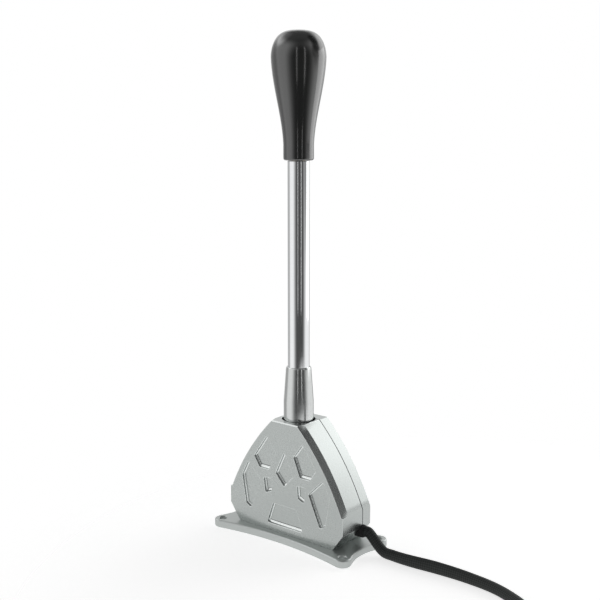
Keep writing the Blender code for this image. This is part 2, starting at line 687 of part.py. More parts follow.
def knob_profile():
    """Radius and height of the pear-shaped knob, downwards: a full crown, then an easy S to the neck."""
    top = KNOB_BOTTOM + KNOB_HEIGHT
    belly, neck = KNOB_BELLY / 2, KNOB_NECK / 2
    points = []
    for i in range(9):
        angle = math.pi / 2 * i / 8
        points.append((belly * math.sin(angle) ** KNOB_FULLNESS, top - KNOB_CROWN * (1 - math.cos(angle))))
    for i in range(1, 11):
        share = i / 10
        drawn_in = KNOB_STRAIGHTNESS * share + (1 - KNOB_STRAIGHTNESS) * eased(share)
        points.append((belly + (neck - belly) * drawn_in, top - KNOB_CROWN - KNOB_TAPER * share))
    return points + [(neck, KNOB_BOTTOM + KNOB_EDGE), (neck - KNOB_EDGE, KNOB_BOTTOM)]


def knob(bore, bore_top):
    profile = knob_profile() + [(bore, KNOB_BOTTOM), (bore, bore_top), (0, bore_top)]
    return turned("knob", profile, BLACK_GLOSS, 32)


def spring_mesh(name, side):
    """A coil spring round a plunger stem, one unbroken wire with straight end stretches."""
    start = ARM_END_RADIUS + GAP + PLUNGER_HEAD + SPRING_WIRE / 2 + GAP
    end = GUIDE_FACE - SPRING_WIRE / 2 - GAP
    count = SPRING_TURNS * SPRING_POINTS
    radius = SPRING_MEAN_DIAMETER / 2
    points = []
    for i in range(count + 1):
        angle = 2 * math.pi * i / SPRING_POINTS
        along = start + (end - start) * i / count
        points.append((side * along, radius * math.cos(angle), ARM_END + radius * math.sin(angle)))
    return wire(name, points, SPRING_WIRE, 1, STEEL)


def wire(name, points, diameter, resolution, finish):
    """A round bar along a row of points, with closed ends."""
    curve = bpy.data.curves.new(name, "CURVE")
    curve.dimensions = "3D"
    curve.bevel_depth = diameter / 2
    curve.bevel_resolution = resolution
    curve.use_fill_caps = True
    spline = curve.splines.new("POLY")
    spline.points.add(len(points) - 1)
    for point, place in zip(spline.points, points):
        point.co = (*place, 1)
    return link(bpy.data.objects.new(name, mesh_of_curve(name, curve)), finish)


def centring(side, name):
    """One spring plunger with its spring and its guide bush, on the arm's round end."""
    turn = TURN_TO_X if side > 0 else Matrix.Rotation(-math.pi / 2, 4, "Y")
    place = (0, 0, ARM_END)
    face = ARM_END_RADIUS + GAP
    tip = GUIDE_FACE + GUIDE_LENGTH + PLUNGER_STEM_OVERRUN
    head, stem = PLUNGER_HEAD_DIAMETER / 2, PLUNGER_STEM_DIAMETER / 2
    back = face + PLUNGER_HEAD
    profile = [(0, tip), (stem, tip), (stem, back), (head, back), (head, face), (0, face)]
    plunger = turned(f"plunger_{name}", profile, STEEL, 16, place, turn)
    bore, body, flange = stem + RUNNING_FIT, GUIDE_DIAMETER / 2, GUIDE_FLANGE_DIAMETER / 2
    end, seat = GUIDE_FACE + GUIDE_LENGTH, GUIDE_FACE + GUIDE_FLANGE
    profile = [(bore, end), (body, end), (body, seat), (flange, seat)]
    profile += [(flange, GUIDE_FACE), (bore, GUIDE_FACE)]
    turned(f"guide_bush_{name}", profile, BRASS, 16, place, turn, hollow=True)
    spring_mesh(f"spring_{name}", side)
    return plunger


def stops():
    """A bracket on the floor with a rubber pad on each side of the arm's tail."""
    reach = TAIL_HALF_WIDTH + (PIVOT.z - TAIL_END) * math.sin(SWING) + GAP
    inside = reach + PAD_THICKNESS + GAP
    base, top = FLOOR + GAP, TAIL_END + PAD_HEIGHT
    outside = inside + STOP_WALL
    outline = [(-STOP_HALF_LENGTH, base), (STOP_HALF_LENGTH, base), (STOP_HALF_LENGTH, base + STOP_BASE),
               (outside, base + STOP_BASE), (outside, top), (inside, top), (inside, base + STOP_BASE)]
    outline += [(-inside, base + STOP_BASE), (-inside, top), (-outside, top), (-outside, base + STOP_BASE),
                (-STOP_HALF_LENGTH, base + STOP_BASE)]
    bracket = upright("stop_bracket", [outline], -STOP_HALF_WIDTH, STOP_HALF_WIDTH, DARK_STEEL)
    for side, name in ((-1, "left"), (1, "right")):
        near, far = sorted((side * reach, side * (reach + PAD_THICKNESS)))
        box(f"bump_stop_{name}", (near, -STOP_HALF_WIDTH, top - PAD_HEIGHT), (far, STOP_HALF_WIDTH, top),
            BLACK_SOFT)
        x = side * STOP_SCREW_X
        cut(bracket, rod(f"stop_hole_{name}", SMALL_SCREW_DIAMETER / 2 + FIT, 0, 2 * FLOOR,
                         steps=12, place=(x, 0, 0)))
        place = (x, 0, base + STOP_BASE + GAP)
        small_screw(f"stop_screw_{name}", place, Matrix(), STOP_BASE + STOP_SCREW_GRIP)


def small_screw(name, place, turn, length):
    """A pan-headed screw whose head stands on the given place, with a hexagon socket."""
    head, shank = SMALL_HEAD_DIAMETER / 2, SMALL_SCREW_DIAMETER / 2
    profile = [(0, SMALL_HEAD), (head, SMALL_HEAD), (head, 0), (shank, 0), (shank, -length), (0, -length)]
    screw = turned(name, profile, DARK_STEEL, 12, place, turn)
    cut(screw, rod(f"{name}_socket", SMALL_SOCKET / 2, SMALL_HEAD / 2, SMALL_HEAD + OVERCUT,
                   steps=6, place=place, turn=turn))


def sensing():
    """The board on its two bosses with the sensors beside the magnet's path, and the magnet in the tail."""
    rear = CAVITY_FRONT + BOARD_BOSS + GAP + BOARD_THICKNESS
    low, high = BOARD_MIDDLE - BOARD_HEIGHT / 2, BOARD_MIDDLE + BOARD_HEIGHT / 2
    half = BOARD_HALF_LENGTH
    corners = [(-half, low), (half, low), (half, high), (-half, high)]
    board = upright("sensor_board", [corners], rear - BOARD_THICKNESS, rear, BOARD_GREEN)
    on_board = rear + FIT
    for side, name in ((-1, "left"), (1, "right")):
        x = side * BOARD_SCREW_X
        cut(board, rod(f"board_hole_{name}", SMALL_SCREW_DIAMETER / 2 + FIT, -FRONT_FACE, FRONT_FACE,
                       place=(x, 0, BOARD_MIDDLE), turn=TURN_TO_Y, steps=12))
        small_screw(f"board_screw_{name}", (x, rear + GAP, BOARD_MIDDLE), TURN_TO_Y, BOARD_SCREW_LENGTH)
        chip(f"hall_sensor_{name}", (side * SENSOR_X, on_board, MAGNET.z), SENSOR_SIZE, BLACK_SOFT)
    chip("controller_chip", (CONTROLLER_X, on_board, BOARD_MIDDLE), CONTROLLER_SIZE, BLACK_SOFT)
    chip("board_connector", (CONNECTOR_X, on_board, BOARD_MIDDLE), CONNECTOR_SIZE, CREAM)
    return rod("sensor_magnet", MAGNET_DIAMETER / 2, -ARM_HALF_THICKNESS, -ARM_HALF_THICKNESS + MAGNET_LENGTH,
               finish=STEEL, place=MAGNET, turn=TURN_TO_Y, steps=16)


def chip(name, place, size, finish):
    """A block whose front face is centred on a place on the board."""
    x, front, z = place
    length, thickness, height = size
    low = (x - length / 2, front, z - height / 2)
    box(name, low, (x + length / 2, front + thickness, z + height / 2), finish)


def smooth_route(points, spacing):
    """Points at an even spacing on a smooth curve through the route's own points."""
    ends = [2 * points[0] - points[1], *points, 2 * points[-1] - points[-2]]
    fine = []
    for before, start, end, after in zip(ends, ends[1:], ends[2:], ends[3:]):
        for i in range(40):
            t = i / 40
            swing = (end - before) * t + (2 * before - 5 * start + 4 * end - after) * t**2
            fine.append(start + (swing + (3 * start - before - 3 * end + after) * t**3) / 2)
    fine.append(points[-1])
    lengths = [0.0]
    for a, b in zip(fine, fine[1:]):
        lengths.append(lengths[-1] + (b - a).length)
    count = max(2, round(lengths[-1] / spacing))
    picked = []
    for i in range(count + 1):
        wanted = lengths[-1] * i / count
        nearest = min(range(len(fine)), key=lambda k: abs(lengths[k] - wanted))
        picked.append(fine[nearest])
    return picked


def hank_height(layer):
    return CORD_DIAMETER / 2 + TIE_THICKNESS + 2 * GAP + layer * (CORD_DIAMETER + 3 * GAP)


def hank_radius(turns):
    """Half the width of a loop: in by a step each turn on the lower layer, then out on the upper one."""
    return HANK_OUTER - HANK_STEP * (TURNS_A_LAYER - abs(turns - TURNS_A_LAYER))


def hank_point(turns):
    """The hank's middle line: near run, far fold, back run and near fold in each turn.

    The runs are drawn in at the waist. The lead climbs a layer along the near run where the spiral
    reverses, and in the last fold it rolls on to the turn beside it.
    """
    roll = eased((turns - ROLL_START) / (FULL_TURNS - ROLL_START)) * math.pi / 2
    radius = hank_radius(turns) - HANK_STEP * (1 - math.cos(roll))
    layer = eased((turns - TURNS_IN) / RUN_SHARE) + math.sin(roll)
    part, back = math.modf(2 * (turns % 1))
    if part < 2 * RUN_SHARE:
        share = part / (2 * RUN_SHARE)
        along = HANK_HALF_RUN * (2 * share - 1)
        aside = HANK_DRAW_IN * math.sin(math.pi * share) ** 2 - radius
    else:
        angle = math.pi * (part - 2 * RUN_SHARE) / (1 - 2 * RUN_SHARE)
        along = HANK_HALF_RUN + radius * math.sin(angle)
        aside = -radius * math.cos(angle)
    turn = -1 if back else 1
    return Vector((HANK_CENTRE[0] + turn * along, HANK_CENTRE[1] + turn * aside, hank_height(layer)))


def hank_points():
    """The hank, straight for one diameter where it starts, and with a straight tail to its plug."""
    count = round(TURNS * HANK_POINTS)
    points = [hank_point(TURNS * i / count) for i in range(count + 1)]
    first = points[0] - Vector((CORD_DIAMETER, 0, 0))
    return [first, *points, points[-1] + Vector((TAIL_RUN, 0, 0))]


def least_gap(points):
    """The least clear gap between stretches of the hank more than a third of a turn apart along it."""
    pieces = 6
    fine = [a.lerp(b, i / pieces) for a, b in zip(points, points[1:]) for i in range(pieces)]
    apart = pieces * HANK_POINTS // 3
    return min((a - b).length for i, a in enumerate(fine) for b in fine[i + apart:]) - CORD_DIAMETER


def grommet(centre, nose, wall):
    body = GROMMET_DIAMETER / 2
    profile = [(0, nose), (body - GROMMET_EDGE, nose), (body, nose - GROMMET_EDGE), (body, wall), (0, wall)]
    turned("cable_grommet", profile, BLACK_SOFT, 24, centre, TURN_TO_X)


def inner_lead(centre, wall):
    """The thin lead inside, from the grommet up and over to the board's connector."""
    depth = CAVITY_FRONT + BOARD_BOSS + BOARD_THICKNESS + CONNECTOR_SIZE[1] + 2 * GAP + FIT
    socket = Vector((CONNECTOR_X, depth, BOARD_MIDDLE))
    route = [
        centre + Vector((wall - GAP, 0, 0)),
        centre + Vector((wall - 4 * MM, -0.2 * MM, 0.5 * MM)),
        Vector((wall - 11.5 * MM, 5.5 * MM, BOARD_MIDDLE - 0.5 * MM)),
        socket + Vector((6.5 * MM, 5 * MM, 0)),
        socket + Vector((0, 4.6 * MM, 0)),
        socket,
    ]
    wire("inner_lead", smooth_route(route, INNER_LEAD_DIAMETER), INNER_LEAD_DIAMETER, 2, BLACK_SOFT)


def outer_lead(mouth, start):
    """The lead from the grommet down to the floor and along it to the hank."""
    lie = CORD_DIAMETER / 2 + FIT
    route = [
        mouth + Vector((4 * MM, 0, 0)),
        Vector((mouth.x + 15.2 * MM, 7.6 * MM, lie + 1 * MM)),
        Vector((mouth.x + 25.2 * MM, 6.8 * MM, lie)),
        Vector((98 * MM, 6.6 * MM, lie)),
        Vector((120 * MM, 8.6 * MM, lie)),
        Vector((142 * MM, 9.2 * MM, lie)),
        Vector((164 * MM, 6.8 * MM, lie)),
        Vector((184 * MM, -1 * MM, lie)),
        Vector((205 * MM, -14 * MM, lie)),
        Vector((226 * MM, -27.5 * MM, lie)),
        start - Vector((16 * MM, -1.2 * MM, start.z - lie - 0.9 * MM)),
        start - Vector((GAP, 0, 0)),
    ]
    wire("cord", [mouth, *smooth_route(route, 2 * CORD_DIAMETER)], CORD_DIAMETER, 3, BLACK_SOFT)


def lead():
    """The grommet, the lead inside, and outside it the run along the floor, the hank and the plug."""
    nose = END_HALF + GROMMET_NOSE
    wall = nose - GROMMET_LENGTH
    centre = Vector((0, SPLIT + GAP / 2, CORD_LEVEL))
    grommet(centre, nose, wall)
    inner_lead(centre, wall)
    hank = hank_points()
    outer_lead(centre + Vector((nose + GAP, 0, 0)), hank[0])
    wire("cord_coil", hank, CORD_DIAMETER, 1, BLACK_SOFT)
    print("least gap of the hank to itself, mm:", round(least_gap(hank) / MM, 2))
    plug(hank[-1])
    coil_tie()


def plug(end):
    """A moulded plug body and its metal shell, lying on the hank where the lead ends."""
    for name, start, length, width, height, finish in (
        ("plug_body", GAP, PLUG_LENGTH, PLUG_WIDTH, PLUG_HEIGHT, BLACK_SOFT),
        ("plug_shell", 2 * GAP + PLUG_LENGTH, SHELL_LENGTH, SHELL_WIDTH, SHELL_HEIGHT, STEEL),
    ):
        half = width / 2
        corners = [(start, -half), (start + length, -half), (start + length, half), (start, half)]
        outline = rounded(corners, PLUG_CORNER)
        prism(name, [outline], -height / 2, height / 2, finish, Matrix.Translation(end))


def coil_tie():
    """A strap drawn round the hank's waist and over the lead's end, drawn in side view along X."""
    slack = CORD_DIAMETER / 2 + TIE_SLACK
    near = HANK_DRAW_IN - hank_radius(RUN_SHARE / 2) - slack
    far = hank_radius(0.5 + RUN_SHARE / 2) - HANK_DRAW_IN + slack
    low = TIE_THICKNESS + GAP
    shoulder, side_top, top = (hank_height(layer) + CORD_DIAMETER / 2 + GAP for layer in (0, 1, 2))
    end = HANK_DRAW_IN - hank_radius(TURNS) + HANK_STEP
    corners = [(near, low), (far, low), (far, side_top)]
    corners += [(end + slack, top), (end - slack, top), (near, shoulder)]
    hole = rounded(corners, TIE_CORNER / 2)
    strap = rounded(inset(corners, -TIE_THICKNESS), TIE_CORNER)
    turn = Matrix.Translation((*HANK_CENTRE, 0)) @ FACE_X
    prism("coil_tie", [strap, hole], -TIE_WIDTH / 2, TIE_WIDTH / 2, BLACK_SOFT, turn)


def carry(name, place, pieces):
    """Hangs pieces that move together on an empty on their joint's axis."""
    axis = bpy.data.objects.new(name, None)
    PARTS.objects.link(axis)
    axis.location = place
    bpy.context.view_layer.update()
    for piece in pieces:
        piece.parent = axis
        piece.matrix_parent_inverse = axis.matrix_world.inverted()


def build():
    base_plate()
    shells = (main_body(), rear_cover())
    base_screws(shells)
    cover_screws()
    swinging = pivot() + [lever_hub()] + lever()
    plungers = [centring(-1, "left"), centring(1, "right")]
    stops()
    swinging.append(sensing())
    lead()
    carry("lever_pivot_axis", PIVOT, swinging)
    carry("plunger_left_axis", (-ARM_END_RADIUS, 0, ARM_END), plungers[:1])
    carry("plunger_right_axis", (ARM_END_RADIUS, 0, ARM_END), plungers[1:])


build()
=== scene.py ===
# Sequential gear lever: finished surfaces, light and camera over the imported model, in metres, +Z up.
import json
import math

import bmesh
import bpy
import numpy as np
from mathutils import Matrix, Vector


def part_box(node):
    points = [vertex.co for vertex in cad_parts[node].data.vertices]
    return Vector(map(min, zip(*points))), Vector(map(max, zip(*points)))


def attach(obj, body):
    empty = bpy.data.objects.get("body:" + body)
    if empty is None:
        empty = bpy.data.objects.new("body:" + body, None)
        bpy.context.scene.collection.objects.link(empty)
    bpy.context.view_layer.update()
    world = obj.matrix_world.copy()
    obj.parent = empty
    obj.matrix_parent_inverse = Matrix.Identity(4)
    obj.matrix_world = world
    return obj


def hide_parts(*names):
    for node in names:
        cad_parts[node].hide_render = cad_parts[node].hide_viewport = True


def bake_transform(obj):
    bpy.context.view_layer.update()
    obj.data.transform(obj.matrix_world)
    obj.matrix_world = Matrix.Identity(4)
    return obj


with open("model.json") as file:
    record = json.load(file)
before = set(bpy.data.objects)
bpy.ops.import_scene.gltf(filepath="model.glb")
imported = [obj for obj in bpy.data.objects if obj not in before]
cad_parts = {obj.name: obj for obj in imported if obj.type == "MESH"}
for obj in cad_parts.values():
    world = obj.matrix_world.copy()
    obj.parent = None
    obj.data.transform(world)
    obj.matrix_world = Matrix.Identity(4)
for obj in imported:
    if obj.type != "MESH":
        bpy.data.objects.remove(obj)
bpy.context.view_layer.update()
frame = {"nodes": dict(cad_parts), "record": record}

MM = 0.001
UPWARD = (0, 0, 1)

# camera, as the photograph was taken
CAMERA_AZIMUTH = math.radians(39.438)
CAMERA_PITCH = math.radians(9.789)
CAMERA_PLACE = Vector((465.098, -563.870, 307.788)) * MM
CAMERA_LENS = 60.83
CAMERA_SENSOR = 36

# lead: the route along the floor, as the CAD model lays it
CORD_DIAMETER = 7.5 * MM
CORD_LIE = 3.85 * MM
CORD_MOUTH = (56.8 * MM, 7.25 * MM, 15.3 * MM)
CORD_ROUTE = (
    CORD_MOUTH,
    (60.8 * MM, 7.25 * MM, 15.3 * MM),
    (72.0 * MM, 7.6 * MM, 4.85 * MM),
    (82.0 * MM, 6.8 * MM, CORD_LIE),
    (98.0 * MM, 6.6 * MM, CORD_LIE),
    (120.0 * MM, 8.6 * MM, CORD_LIE),
    (142.0 * MM, 9.2 * MM, CORD_LIE),
    (164.0 * MM, 6.8 * MM, CORD_LIE),
    (184.0 * MM, -1.0 * MM, CORD_LIE),
    (205.0 * MM, -14.0 * MM, CORD_LIE),
    (226.0 * MM, -27.5 * MM, CORD_LIE),
    (248.5 * MM, -37.55 * MM, 4.75 * MM),
)
ROUTE_STEPS = 10

# lead: the woven sleeving, slack and tall near the housing
SLEEVING_HALF_WIDTH = 3.2 * MM
SLEEVING_RISE = 5.2 * MM
SLEEVING_DROP = 3.75 * MM
SLEEVING_TALL_AT = 62.0 * MM
SLEEVING_TALL_OVER = 32.0 * MM
SLEEVING_SIDES = 28
BRAID_PITCH = 3.4 * MM
BRAID_STRANDS = 9

# lead: the hank that puts the rest of it away
HANK_CENTRE = (305.0 * MM, -5.0 * MM)
HANK_HALF_RUN = 33.0 * MM
HANK_FOLD = 15.0 * MM
HANK_STEP = 9.0 * MM
HANK_DRAW_IN = 8.0 * MM
HANK_LOW = 5.35 * MM
HANK_RISE = 8.4 * MM
RUN_SHARE = 1 / 6
TURNS_IN = 2
POINTS_A_TURN = 168
TAIL_RUN = 18.0 * MM
TAIL_STEPS = 12

# lead: the strap round the hank
TIE_WIDTH = 10.0 * MM
TIE_THICKNESS = 1.0 * MM
TIE_SHOULDER = 9.4 * MM
TIE_BACK_TOP = 17.8 * MM
TIE_TOP_MIDDLE = -16.0 * MM
TIE_TOP_HALF = 5.45 * MM
TIE_CORNER = 2.2 * MM
TIE_CORNER_STEPS = 8
TIE_ACROSS_POWER = 0.25
TIE_OUT_POWER = 0.5
TIE_SIDES = 24

# lead: the grommet
GROMMET_NOSE_IN = 0.2 * MM
GROMMET_NOSE_EASE = 0.9 * MM
GROMMET_SHOULDER = 1.6 * MM
GROMMET_SHOULDER_EASE = 0.3 * MM
GROMMET_REAR_EASE = 0.4 * MM
GROMMET_SIDES = 64

# plug: the moulding
JOINT_GAP = 0.3 * MM
PLUG_LENGTH = 28.0 * MM
PLUG_HALF_WIDTH = 8.0 * MM
PLUG_HALF_HEIGHT = 4.2 * MM
PLUG_FULLNESS = 4.5
PLUG_ROWS = 90
PLUG_SIDES = 48
PLUG_SWELL = 6.0 * MM
COLLAR_LENGTH = 8.0 * MM
COLLAR_HALF_WIDTH = 5.0 * MM
COLLAR_HALF_HEIGHT = 3.8 * MM
RIB_PITCH = 2.0 * MM
RIB_DEPTH = 0.35 * MM
RIB_DEPTH_ABOVE = 0.5 * RIB_DEPTH
TURN_IN = 1.2 * MM
TURN_IN_SHARE = 0.12
WAIST_AT = 21.0 * MM
WAIST_OVER = 4.0 * MM
WAIST_SHARE = 0.05

# plug: the metal shell and its latch windows, whose length and place are shares of the shell's length
SHELL_START = 2 * JOINT_GAP + PLUG_LENGTH
SHELL_LENGTH = 19.0 * MM
SHELL_HALF_WIDTH = 6.0 * MM
SHELL_HALF_HEIGHT = 2.25 * MM
SHELL_WALL = 0.35 * MM
SHELL_FULLNESS = 9
SHELL_ROWS = 39
SHELL_SIDES = 64
WINDOW_AT = 0.56
WINDOW_HALF_LENGTH = 0.07
WINDOW_ASIDE = 2.9 * MM
WINDOW_HALF_WIDTH = 1.2 * MM
FLAT_SHARE = 0.8

# plug: the contact carrier and the contacts on it
TONGUE_LENGTH = SHELL_LENGTH - 1.0 * MM
TONGUE_RISE = 0.9 * MM
TONGUE_HALF_WIDTH = 5.4 * MM
TONGUE_HALF_HEIGHT = 0.8 * MM
TONGUE_FULLNESS = 8
TONGUE_ROWS = 12
TONGUE_SIDES = 32
CONTACTS_ASIDE = (-3.5 * MM, -1.0 * MM, 1.0 * MM, 3.5 * MM)
CONTACT_START = SHELL_START + 2.0 * MM
CONTACT_LENGTH = SHELL_LENGTH - 4.5 * MM
CONTACT_RISE = 0.08 * MM
CONTACT_HALF_WIDTH = 0.55 * MM
CONTACT_HALF_HEIGHT = 0.12 * MM
CONTACT_FULLNESS = 6
CONTACT_ROWS = 8
CONTACT_SIDES = 16

# lever
KNOB_BELLY = 19.65 * MM
KNOB_NECK = 11.0 * MM
KNOB_CROWN = 19.0 * MM
KNOB_TAPER = 60.0 * MM
KNOB_FULLNESS = 0.62
KNOB_SLANT = 0.3
KNOB_FOOT = 1.8 * MM
KNOB_BORE = 7.1 * MM
KNOB_BORE_DEPTH = 25.3 * MM
KNOB_BORE_LIP = 0.3 * MM
KNOB_BORE_CORNER = 0.2 * MM
CROWN_STEPS = 40
CROWN_CROWDING = 1.15
TAPER_STEPS = 49
ROD_RADIUS = 8.0 * MM
ROD_THREAD = 5.0 * MM
ROD_SHOULDER = 282.7 * MM
ROD_EASE = 0.5 * MM
ROD_TIP_EASE = 0.6 * MM
ROD_ROOT_EASE = 0.3 * MM
TURNED_SIDES = 96
EASE_STEPS = 6

# centring springs
SPRING_WIRE = 0.6 * MM
SPRING_RADIUS = 3.8 * MM
SPRING_TURNS = 6
SPRING_POINTS_A_TURN = 28
SPRING_SIDES = 12

# copies of CAD meshes: points this near become one, and so do faces this flat to each other
WELD_WITHIN = 0.001 * MM
FLAT_WITHIN = math.radians(0.4)

# edges: how wide and in how many steps each kind of piece is rounded, and from which angle
HOUSING_EDGE = 0.35 * MM
PLATE_EDGE = 0.3 * MM
SLEEVE_EDGE = 0.3 * MM
STEEL_EDGE = 0.2 * MM
BRASS_EDGE = 0.12 * MM
SCREW_EDGE = 0.15 * MM
RUBBER_EDGE = 0.2 * MM
BOARD_EDGE = 0.1 * MM
CONNECTOR_EDGE = 0.2 * MM
EDGE_STEPS = 2
FINE_EDGE_STEPS = 3
ROUNDED_FROM = math.radians(25)
EDGE_WEIGHT = "bevel_weight_edge"

# housing: the long shallow creases that stay crisp, the pockets, the plain ends, the top edge and the joint
CREASED_FROM = math.radians(9)
CREASED_TO = math.radians(19)
CREASE_LENGTH = 2.5 * MM
POCKET_DEPTH = 2.0 * MM
POCKET_FILLET = 1.8 * MM
POCKET_SHARE = 0.5
INNER_POCKETS = 30.0 * MM
LEVEL_NORMAL = 0.9
PLAIN_ENDS = 52.0 * MM
END_SHARE = 0.25
TOP_CHAMFER = 0.8 * MM
SPLIT = 7.1 * MM
SPLIT_GAP = 0.35 * MM
JOINT_CHAMFER = 0.2 * MM
TOUCHING = 0.01 * MM

# housing: the material slots, after that of a half's faces, of its edges (a painted highlight on the front
# half) and of its joint (painted shade)
EDGE_COLOUR_SLOT = 1
JOINT_SHADE_SLOT = 2

# finishes: the middle stretch of noise that a colour or a gloss is spread over, and how strong relief is
NOISE_LOW = 0.3
NOISE_HIGH = 0.7
RELIEF_STRENGTH = 0.5

# room: azimuth and elevation of each patch, the cosines where it starts and is full, its brightness
ROOM_LIGHT = 0.6
CAMERA_CORNER = (-40, -5, 0.28, 0.90, 0.08)
DARK_CEILING = (-60, 88, 0.50, 0.85, 0.2)
DARK_BACK = (178, -5, 0.80, 0.96, 0.5)
DARK_BEHIND = (118, -18, 0.88, 0.98, 0.25)
DARK_DOORWAY = ((45, 46, 0.92, 0.98, 0.25), (36, 30, 0.92, 0.98, 0.25), (27, 13, 0.92, 0.98, 0.35))
BRIGHT_WINDOWS = ((76, 33, 0.87, 0.97, 1.7), (-163, 47, 0.87, 0.97, 2.2))
ROOM_PATCHES = (CAMERA_CORNER, DARK_CEILING, DARK_BACK, DARK_BEHIND, *DARK_DOORWAY, *BRIGHT_WINDOWS)

# lamps: azimuth and elevation from the lit point, distance, width, height and brightness
LIT_POINT = Vector((0, 0, 0.16))
LAMPS = {
    "side_card": (62, 13, 0.47, 0.36, 0.42, 1.0),
    "left_strip": (-58, 11, 1.7, 0.1, 1.4, 0.9),
    "right_strip": (-24, 11, 1.7, 0.1, 1.4, 1.1),
}

# floor
FLOOR_MIDDLE = 0.15
FLOOR_SOLID = 0.2
FLOOR_RADIUS = 0.36
FLOOR_SIDES = 96
FLOOR_GREY = 0.8
FLOOR_ROUGHNESS = 0.9
FLOOR_TOP_UP = 0.7


# Numbers and lines

def gently(share):
    """s^2 (3 - 2s), with s held between 0 and 1."""
    held = np.clip(share, 0, 1)
    return held**2 * (3 - 2 * held)


def between(start, end, share):
    """start + (end - start) s."""
    return start + (end - start) * share


def signed_power(values, power):
    """|v|^p with the sign of v."""
    return np.sign(values) * np.abs(values) ** power


def unit(vectors):
    """Each vector over its own length."""
    return vectors / np.linalg.norm(vectors, axis=-1, keepdims=True)


def run_lengths(path):
    """Length along a path at each of its points."""
    steps = np.linalg.norm(np.diff(path, axis=0), axis=1)
    return np.concatenate(([0], np.cumsum(steps)))


def eased(corners, steps=EASE_STEPS):
    """Corners of (x, y, r), each cut r short on both sides and joined by (1-t)^2 a + 2t(1-t) c + t^2 b."""
    rows = [np.array([corners[0][:2]])]
    t = np.linspace(0, 1, steps)[:, None]
    for before, here, after in zip(corners, corners[1:], corners[2:]):
        corner = np.array(here[:2])
        back = np.array(before[:2]) - corner
        ahead = np.array(after[:2]) - corner
        start = corner + back * here[2] / np.linalg.norm(back)
        end = corner + ahead * here[2] / np.linalg.norm(ahead)
        rows.append((1 - t) ** 2 * start + 2 * t * (1 - t) * corner + t**2 * end)
    rows.append(np.array([corners[-1][:2]]))
    return np.concatenate(rows)


def smooth_line(points, steps):
    """A Catmull-Rom curve through the points, with the given steps in each span."""
    p = np.asarray(points, float)
    p = np.concatenate(([2 * p[0] - p[1]], p, [2 * p[-1] - p[-2]]))
    before, start, end, after = (x[:, None] for x in (p[:-3], p[1:-2], p[2:-1], p[3:]))
    t = (np.arange(steps) / steps)[None, :, None]
    swing = (end - before) * t + (2 * before - 5 * start + 4 * end - after) * t**2
    curve = start + (swing + (3 * start - before - 3 * end + after) * t**3) / 2
    return np.concatenate((curve.reshape(-1, 3), p[-2:-1]))


# Surfaces

def circle(sides):
    """Angles once round, the last one on the first."""
    return np.linspace(0, 2 * np.pi, sides + 1)


def turned(profile, sides=TURNED_SIDES):
    """A profile of radius r and height h swept round Z: (r cos a, r sin a, h) for every angle a."""
    angle = circle(sides)
    radius, height = np.asarray(profile).T
    level = np.repeat(height[:, None], sides + 1, axis=1)
    return np.stack((np.outer(radius, np.cos(angle)), np.outer(radius, np.sin(angle)), level), axis=-1)


def oblong(half_width, half_height, fullness, sides):
    """Points round |x/w|^n + |y/h|^n = 1, where n is the fullness."""
    angle = circle(sides)
    across = half_width * signed_power(np.cos(angle), 2 / fullness)
    rise = half_height * signed_power(np.sin(angle), 2 / fullness)
    return across, rise


def swept(path, across, rise, upward):
    """A section (across, rise), shared or one for each point, set square to a path, with closed ends."""
    way = unit(np.gradient(path, axis=0))
    side = unit(np.cross(way, np.asarray(upward, float)))
    up = np.cross(side, way)
    rings = path[:, None] + across[..., None] * side[:, None] + rise[..., None] * up[:, None]
    caps = [np.repeat(path[i][None, None], rings.shape[1], axis=1) for i in (0, -1)]
    return np.concatenate((caps[0], rings, caps[1]))


# Meshes and pieces

def grid_faces(rows, columns):
    """Four-sided faces of a grid of points, row by row."""
    index = np.arange(rows * columns).reshape(rows, columns)
    corners = (index[:-1, :-1], index[:-1, 1:], index[1:, 1:], index[1:, :-1])
    return np.stack(corners, axis=-1).reshape(-1, 4)


def weld(mesh):
    """Closes seams and poles and turns every face outwards."""
    shape = bmesh.new()
    shape.from_mesh(mesh)
    bmesh.ops.remove_doubles(shape, verts=shape.verts, dist=WELD_WITHIN)
    bmesh.ops.recalc_face_normals(shape, faces=shape.faces)
    for face in shape.faces:
        face.smooth = True
    shape.to_mesh(mesh)
    shape.free()


def grid_mesh(name, points, uv=None, keep=None):
    """A mesh of a grid of points, rows by columns, with its own UV map and without the faces not kept."""
    rows, columns = points.shape[:2]
    faces = grid_faces(rows, columns)
    if keep is not None:
        faces = faces[keep.reshape(-1)]
    mesh = bpy.data.meshes.new(name)
    mesh.from_pydata(points.reshape(-1, 3).tolist(), [], faces.tolist())
    if uv is not None:
        layer = mesh.uv_layers.new(name="along")
        corners = uv.reshape(-1, 2)[faces.reshape(-1)]
        layer.data.foreach_set("uv", corners.astype(np.float32).reshape(-1))
    weld(mesh)
    return mesh


def linked(name, data):
    """A new object in the scene."""
    made = bpy.data.objects.new(name, data)
    bpy.context.scene.collection.objects.link(made)
    return made


def piece(name, mesh, finish, body, nodes=()):
    """A finished piece: its material, the body it rides on and the nodes it stands for."""
    made = linked(name, mesh)
    mesh.materials.append(finish)
    if body is not None:
        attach(made, body)
    if nodes:
        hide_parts(*nodes)
    return made


# Pieces that keep their CAD shape

def body_of_node(node):
    """The body that the record puts a node in."""
    bodies = frame["record"]["behaviour"]["bodies"]
    return next(body for body, nodes in bodies.items() if node in nodes)


